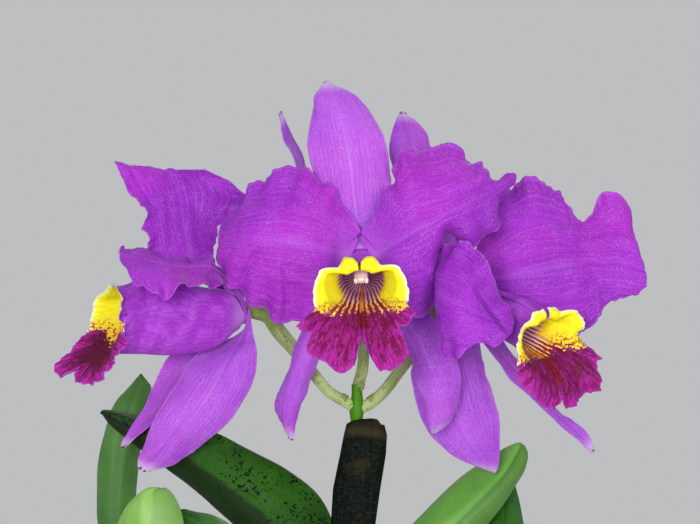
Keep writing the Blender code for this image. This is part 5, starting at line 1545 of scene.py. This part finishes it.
def make_bulbs(finish):
    """Club-shaped pseudobulbs, furrowed as they are when they have flowered."""
    count, around = BULB_NET
    turns = np.linspace(0, 2 * np.pi, around, endpoint=False)
    round_it = np.stack([np.cos(turns), np.sin(turns), 0 * turns], axis=1)
    for number, name in enumerate(BULBS):
        fat = BULBS[name][-1]
        line = bulb_line(name, count)
        t = np.linspace(0, 1, count)
        profile = np.array(BULB_PROFILE)
        swell = spline(profile, np.interp(t, profile[:, 0], np.arange(len(profile))))[:, 1]
        rings, furrows = [], []
        for k in range(count):
            joint = math.cos(2 * math.pi * BULB_JOINTS * (t[k] + BULB_JOINT_START)) ** 40
            wander = 0.5 * soft_noise(turns * 1.3, t[k] * 3, 50 + number)
            ridge = np.cos((turns + 0.25 * wander) * BULB_FURROWS + number)
            depth = BULB_FURROW_DEPTH * soft_step(t[k], 0.25, 0.5) * soft_step(1 - t[k], 0.02, 0.2)
            furrow = (0.5 - 0.5 * ridge) ** 2
            radius = fat * swell[k] - depth * furrow - 0.35 * joint + 0.25 * wander
            rings.append(line[k] + radius[:, None] * round_it)
            furrows.append(furrow * depth)
        obj = lofted(f"{name}_skin", rings, [finish], values={"furrow": np.concatenate(furrows)})
        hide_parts(name)


def make_husks(finish):
    """Papery husks that wrap the lower part of each pseudobulb and split as they dry."""
    count, across = HUSK_NET
    stations = np.linspace(-1, 1, across)
    profile = np.array(BULB_PROFILE)
    for number, name in enumerate(BULBS):
        fat = BULBS[name][-1]
        line = bulb_line(name, 200)
        for layer, (low, high, gape, turn) in enumerate(HUSKS):
            t = np.linspace(low, high, count)
            rows = []
            for k in range(count):
                s = (t[k] - low) / (high - low)
                centre = line[int(round(t[k] * (len(line) - 1)))]
                swell = np.interp(t[k], profile[:, 0], profile[:, 1])
                open_by = gape * soft_step(s, 0.35, 1.0)
                angle = turn + number * 1.1 + stations * math.pi * (1.02 - 0.55 * open_by)
                lift = 0.7 + 0.5 * layer + 2.4 * open_by * s ** 2
                crinkle = 0.35 * soft_noise(angle * 7, t[k] * 9, 80 + number) * (0.4 + s)
                radius = fat * swell + lift + crinkle
                tear = 2.5 * soft_noise(stations * 9, 3.3, 90 + number + layer) - 5 * np.abs(stations) ** 3
                out = np.stack([radius * np.cos(angle), radius * np.sin(angle), tear * s ** 6], axis=1)
                rows.append(centre + out)
            put_wrap(f"husk_{number + 1}_{layer + 1}", rows, HUSK_THICK, finish)


def rhizome_line():
    """The rhizome's way over the bark, through the feet of the pseudobulbs and a little past."""
    feet = [np.array(BULBS[name][0], float) for name in RHIZOME_ORDER]
    first = feet[0] + (feet[0] - feet[1]) * RHIZOME_ENDS[0]
    last = feet[-1] + (feet[-1] - feet[-2]) * RHIZOME_ENDS[1]
    return [tuple(p) for p in (first, *feet, last)]


def make_rhizome(woody, velamen):
    """The ringed creeping stem, and the pale roots that run over the bark from it."""
    line = smooth_path([(x, y, RHIZOME_AXIS) for x, y in rhizome_line()], RHIZOME_POINTS)
    length = running(line)
    scar = np.abs(np.sin(length * math.pi / RHIZOME_RINGED)) ** 0.35
    ends = soft_step(length, -4, 7) * soft_step(length[-1] - length, -4, 7)
    thick = (RHIZOME_RADIUS - 0.55 + 0.55 * scar) * (0.3 + 0.7 * ends)
    stems("creeping_stem", [(line, thick)], woody, "rhizome", 28, 0.9, 260.0)
    low = BARK_TOP + GAP + ROOT_RADIUS
    runs = []
    for number, knots in enumerate(ROOTS):
        knots = [(x, y, low) for x, y in knots]
        knots[0] = (*knots[0][:2], low + ROOT_CLIMB)
        path = smooth_path(knots, ROOT_POINTS)
        s = np.linspace(0, 1, ROOT_POINTS)
        wander = soft_noise(s * 7, number, 31)
        sideways = np.cross(np.gradient(path, axis=0), (0, 0, 1))
        sideways = sideways / np.linalg.norm(sideways, axis=1)[:, None]
        path = path + sideways * (ROOT_WANDER * wander * np.sin(math.pi * s))[:, None]
        tapered = np.sqrt(np.clip((1.02 - s) / 0.12, 0, 1))
        thick = ROOT_RADIUS * (1 + 0.08 * soft_noise(s * 16, number, 32)) * tapered
        runs.append((path, np.maximum(thick, 0.25)))
    stems("roots", runs, velamen, None, 20, 0.35, 500.0)


def pot_radius(z):
    """The pot's outer radius at a height, without its band."""
    top = POT_RIM_RADIUS - POT_RIM_PROUD
    return POT_FOOT_RADIUS + (top - POT_FOOT_RADIUS) * z / POT_HEIGHT


def rounded(profile, radius, steps=5):
    """The profile with each inner corner cut round."""
    line = [np.array(profile[0], float)]
    for a, b, c in zip(profile, profile[1:], profile[2:]):
        a, b, c = (np.array(p, float) for p in (a, b, c))
        start = b + (a - b) * min(0.45, radius / np.linalg.norm(a - b))
        end = b + (c - b) * min(0.45, radius / np.linalg.norm(c - b))
        for t in np.linspace(0, 1, steps):
            line.append((1 - t) ** 2 * start + 2 * t * (1 - t) * b + t ** 2 * end)
    line.append(np.array(profile[-1], float))
    return line


def spun(name, profile, sides, uneven, seed):
    """A turned mesh from a profile of (radius, height) that starts and ends on the axis."""
    mesh = bmesh.new()
    verts = [mesh.verts.new((r * MM, 0, z * MM)) for r, z in profile]
    edges = [mesh.edges.new(pair) for pair in zip(verts, verts[1:])]
    bmesh.ops.spin(mesh, geom=verts + edges, cent=(0, 0, 0), axis=(0, 0, 1), angle=2 * math.pi,
                   steps=sides, use_merge=True)
    bmesh.ops.remove_doubles(mesh, verts=mesh.verts, dist=0.00001)
    bmesh.ops.recalc_face_normals(mesh, faces=mesh.faces)
    for vert in mesh.verts:
        turn = math.atan2(vert.co.y, vert.co.x)
        rise = 3 * math.sin(turn) + vert.co.z / MM / 40
        swell = uneven * float(soft_noise(3 * math.cos(turn) + 20, rise, seed))
        reach = math.hypot(vert.co.x, vert.co.y)
        if reach > 1e-6:
            grown = 1 + swell * MM / reach * min(1.0, reach / 0.03)
            vert.co.x *= grown
            vert.co.y *= grown
    data = bpy.data.meshes.new(name)
    mesh.to_mesh(data)
    mesh.free()
    data = in_order(data)
    data.shade_smooth()
    return put_object(name, data)


def make_pot(finish):
    """A hand-turned clay pot with a plain band at its rim and three drain holes."""
    band = POT_HEIGHT - POT_RIM_BAND
    inside = pot_radius(POT_HEIGHT) - POT_WALL
    profile = [(0, 0), (POT_FOOT_RADIUS - 0.2, 0), (pot_radius(band), band),
               (POT_RIM_RADIUS - 0.8, band + 1.0), (POT_RIM_RADIUS - 0.2, POT_HEIGHT), (inside, POT_HEIGHT),
               (pot_radius(POT_FLOOR) - POT_WALL, POT_FLOOR), (0, POT_FLOOR)]
    line = rounded(profile, POT_EDGE)
    dense = [line[0]]
    for a, b in zip(line, line[1:]):
        cuts = max(1, int(np.linalg.norm(b - a) / POT_CELL))
        dense += [a + (b - a) * (k + 1) / cuts for k in range(cuts)]
    pot = spun("clay_pot", dense, POT_ROUND, POT_UNEVEN, 61)
    cutters = []
    for k in range(DRAIN_COUNT):
        angle = math.radians(90 + 360 * k / DRAIN_COUNT)
        mesh = bmesh.new()
        ring = DRAIN_RING * MM
        place = Matrix.Translation((ring * math.cos(angle), ring * math.sin(angle), 0))
        bmesh.ops.create_cone(mesh, cap_ends=True, segments=DRAIN_SIDES, radius1=DRAIN_RADIUS * MM,
                              radius2=DRAIN_RADIUS * MM, depth=3 * POT_FLOOR * MM, matrix=place)
        data = bpy.data.meshes.new("drain")
        mesh.to_mesh(data)
        mesh.free()
        cutter = put_object("drain", data)
        cutters.append(cutter)
        cut = pot.modifiers.new("drain", "BOOLEAN")
        cut.operation = "DIFFERENCE"
        cut.object = cutter
    mesh = in_order(settled(pot))
    pot.modifiers.clear()
    pot.data = mesh
    for cutter in cutters:
        bpy.data.objects.remove(cutter, do_unlink=True)
    mesh.materials.clear()
    mesh.materials.append(finish)
    mesh.shade_smooth()
    mesh.set_sharp_from_angle(angle=math.radians(POT_SHARP))
    dress(pot)
    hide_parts("pot")


def make_bark(finish):
    """Bark that fills the pot: a solid bed, with loose chips strewn over it and dipped under the roots."""
    clear = POT_WALL + GAP + 0.3
    foot = POT_FLOOR + GAP
    rim = pot_radius(BARK_TOP) - clear
    bed = BARK_TOP - BED_DEPTH
    profile = [(0, foot), (pot_radius(foot) - clear, foot), (pot_radius(bed) - clear, bed), (0, bed)]
    core = spun("bark_bed", rounded(profile, BED_EDGE), BARK_ROUND, 0.0, 62)
    core.data.materials.append(finish)
    dress(core)
    lines = [smooth_path(rhizome_line(), 120)] + [smooth_path(knots, 40) for knots in ROOTS]
    tracks = np.concatenate(lines)
    rings, around = GROUND_NET
    reach = np.linspace(0, rim - CHIP_CLEAR, rings)
    turns = np.linspace(0, 2 * np.pi, around, endpoint=False)
    points, faces = [], []
    for r in reach:
        for turn in turns:
            x, y = r * math.cos(turn), r * math.sin(turn)
            near = np.min(np.hypot(tracks[:, 0] - x, tracks[:, 1] - y))
            dip = DIP_DEPTH * (1 - float(soft_step(near, *DIP_WIDTH)))
            hill = 0.9 * float(soft_noise(x / 14 + 9, y / 14 + 9, 63))
            points.append((x, y, BARK_TOP - 1.0 + hill - dip))
    for i in range(rings - 1):
        low, high = i * around, (i + 1) * around
        for j in range(around):
            k = (j + 1) % around
            faces.append((low + j, high + j, high + k, low + k))
    mesh = bpy.data.meshes.new("bark_ground")
    mesh.from_pydata((np.array(points) * MM).tolist(), [], faces)
    ground = put_object("bark_ground", mesh)
    chips = chip_recipe().cook(ground, "bark_chips", Finish=finish, Apart=CHIP_APART * MM, Seed=7,
                               Chip=[c * MM for c in CHIP_SIZE], Rough=CHIP_ROUGH * MM)
    face_outwards(chips.data)
    dress(chips)
    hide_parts("bark_medium")


def make_leaves(finishes):
    """The strap leaves, each with the skin of its age; the shaded skin is darker green as painted shade."""
    for number, (name, rows) in enumerate(LEAVES.items()):
        surface = blade_surface(rows, LEAF_NET, LEAF_FRILL, 0.0, 300 + 10 * number, FOLDS.get(name, ()))
        put_blade(name + "_blade", name, surface, finishes[LEAF_SKINS[name]])


def make_stage():
    """A pale round floor, a pale sky and soft lights."""
    mesh = bmesh.new()
    bmesh.ops.create_circle(mesh, cap_ends=True, segments=FLOOR_ROUND, radius=FLOOR_RADIUS)
    data = bpy.data.meshes.new("floor")
    mesh.to_mesh(data)
    mesh.free()
    floor = put_object("floor", data)
    data.materials.append(floor_finish())
    world = bpy.data.worlds.new("pale_studio")
    world.use_nodes = True
    sky = world.node_tree.nodes["Background"]
    sky.inputs["Color"].default_value = SKY_COLOUR
    sky.inputs["Strength"].default_value = SKY_STRENGTH
    bpy.context.scene.world = world
    for name, place, aim, size, power in LIGHTS:
        lamp = bpy.data.lights.new(name, "AREA")
        lamp.shape = "DISK"
        lamp.size = size
        lamp.energy = power
        obj = put_object(name, lamp)
        obj.location = place
        obj.rotation_euler = (Vector(aim) - Vector(place)).to_track_quat("-Z", "Y").to_euler()


def make_camera():
    """Level with the middle bloom, straight in front of the plant."""
    lens = bpy.data.cameras.new("camera")
    lens.sensor_width = SENSOR
    lens.lens = SENSOR * CAMERA_AWAY / VIEW_WIDTH
    camera = put_object("camera", lens)
    camera.location = (0, -CAMERA_AWAY, CAMERA_HEIGHT)
    camera.rotation_euler = (math.radians(90), 0, 0)
    bpy.context.scene.camera = camera
    bpy.context.scene.view_settings.view_transform = "Standard"


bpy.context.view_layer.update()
make_camera()
make_stage()
STEM = stem_recipe()

skins = {
    "petal": tepal_finish("petal", srgb(184, 98, 218), srgb(158, 38, 194), srgb(138, 22, 176),
                          srgb(172, 34, 186), srgb(216, 160, 238), 12.0, (0.03, 0.36), 1.02),
    "sepal": tepal_finish("sepal", srgb(196, 136, 224), srgb(172, 80, 212), srgb(156, 58, 200),
                          srgb(184, 76, 206), srgb(226, 188, 244), 8.0, (0.02, 0.26), 0.93),
    "lip_inside": lip_inside_finish(),
    "lip_outside": lip_outside_finish(),
    "column": column_finish(),
    "anther": anther_finish(),
}
for number, (name, bloom) in enumerate(BLOOMS.items()):
    make_bloom(name, bloom, number, skins)
make_stalk(stem_finish("stalk_green", srgb(66, 124, 2), srgb(46, 100, 0), srgb(36, 58, 8), 0.0),
           stem_finish("pedicel_green", srgb(168, 182, 122), srgb(116, 140, 62), srgb(58, 44, 36), 0.05))
husk = husk_finish("dry_husk", srgb(168, 146, 112), srgb(206, 192, 164), srgb(120, 96, 66))
make_sheath(sheath_finish())
make_bracts(husk_finish("bract", srgb(134, 150, 84), srgb(158, 164, 104), srgb(112, 128, 62)))
make_bulbs(bulb_finish())
make_husks(husk)
make_leaves({
    "fresh": leaf_finish("leaf_fresh", srgb(88, 148, 50), srgb(106, 164, 66), srgb(60, 114, 34), 0.0,
                         half_shade=0.45, half_shade_colour=srgb(56, 84, 40)),
    "older": leaf_finish("leaf_older", srgb(60, 110, 38), srgb(80, 132, 54), srgb(40, 84, 24), 0.0),
    "young": leaf_finish("leaf_young", srgb(116, 168, 72), srgb(142, 188, 92), srgb(86, 130, 50), 0.0,
                         half_shade=0.55, half_shade_colour=srgb(94, 134, 66)),
    # its dark green is partly its own colour and partly painted shade
    "spotted": leaf_finish("leaf_spotted", srgb(35, 80, 16), srgb(48, 100, 24), srgb(20, 50, 10), 1.0, 0.1,
                           -1.0, 0.85, srgb(22, 36, 18)),
    # the shaded skin: darker green as painted shade
    "shaded": leaf_finish("leaf_shaded", srgb(36, 84, 24), srgb(60, 120, 36), srgb(22, 54, 14), 0.2, 0.25),
})
make_rhizome(root_finish("rhizome_bark", srgb(96, 84, 52), srgb(140, 126, 84)),
             root_finish("velamen", srgb(196, 194, 176), srgb(222, 220, 206)))
make_bark(bark_finish())
make_pot(clay_finish())
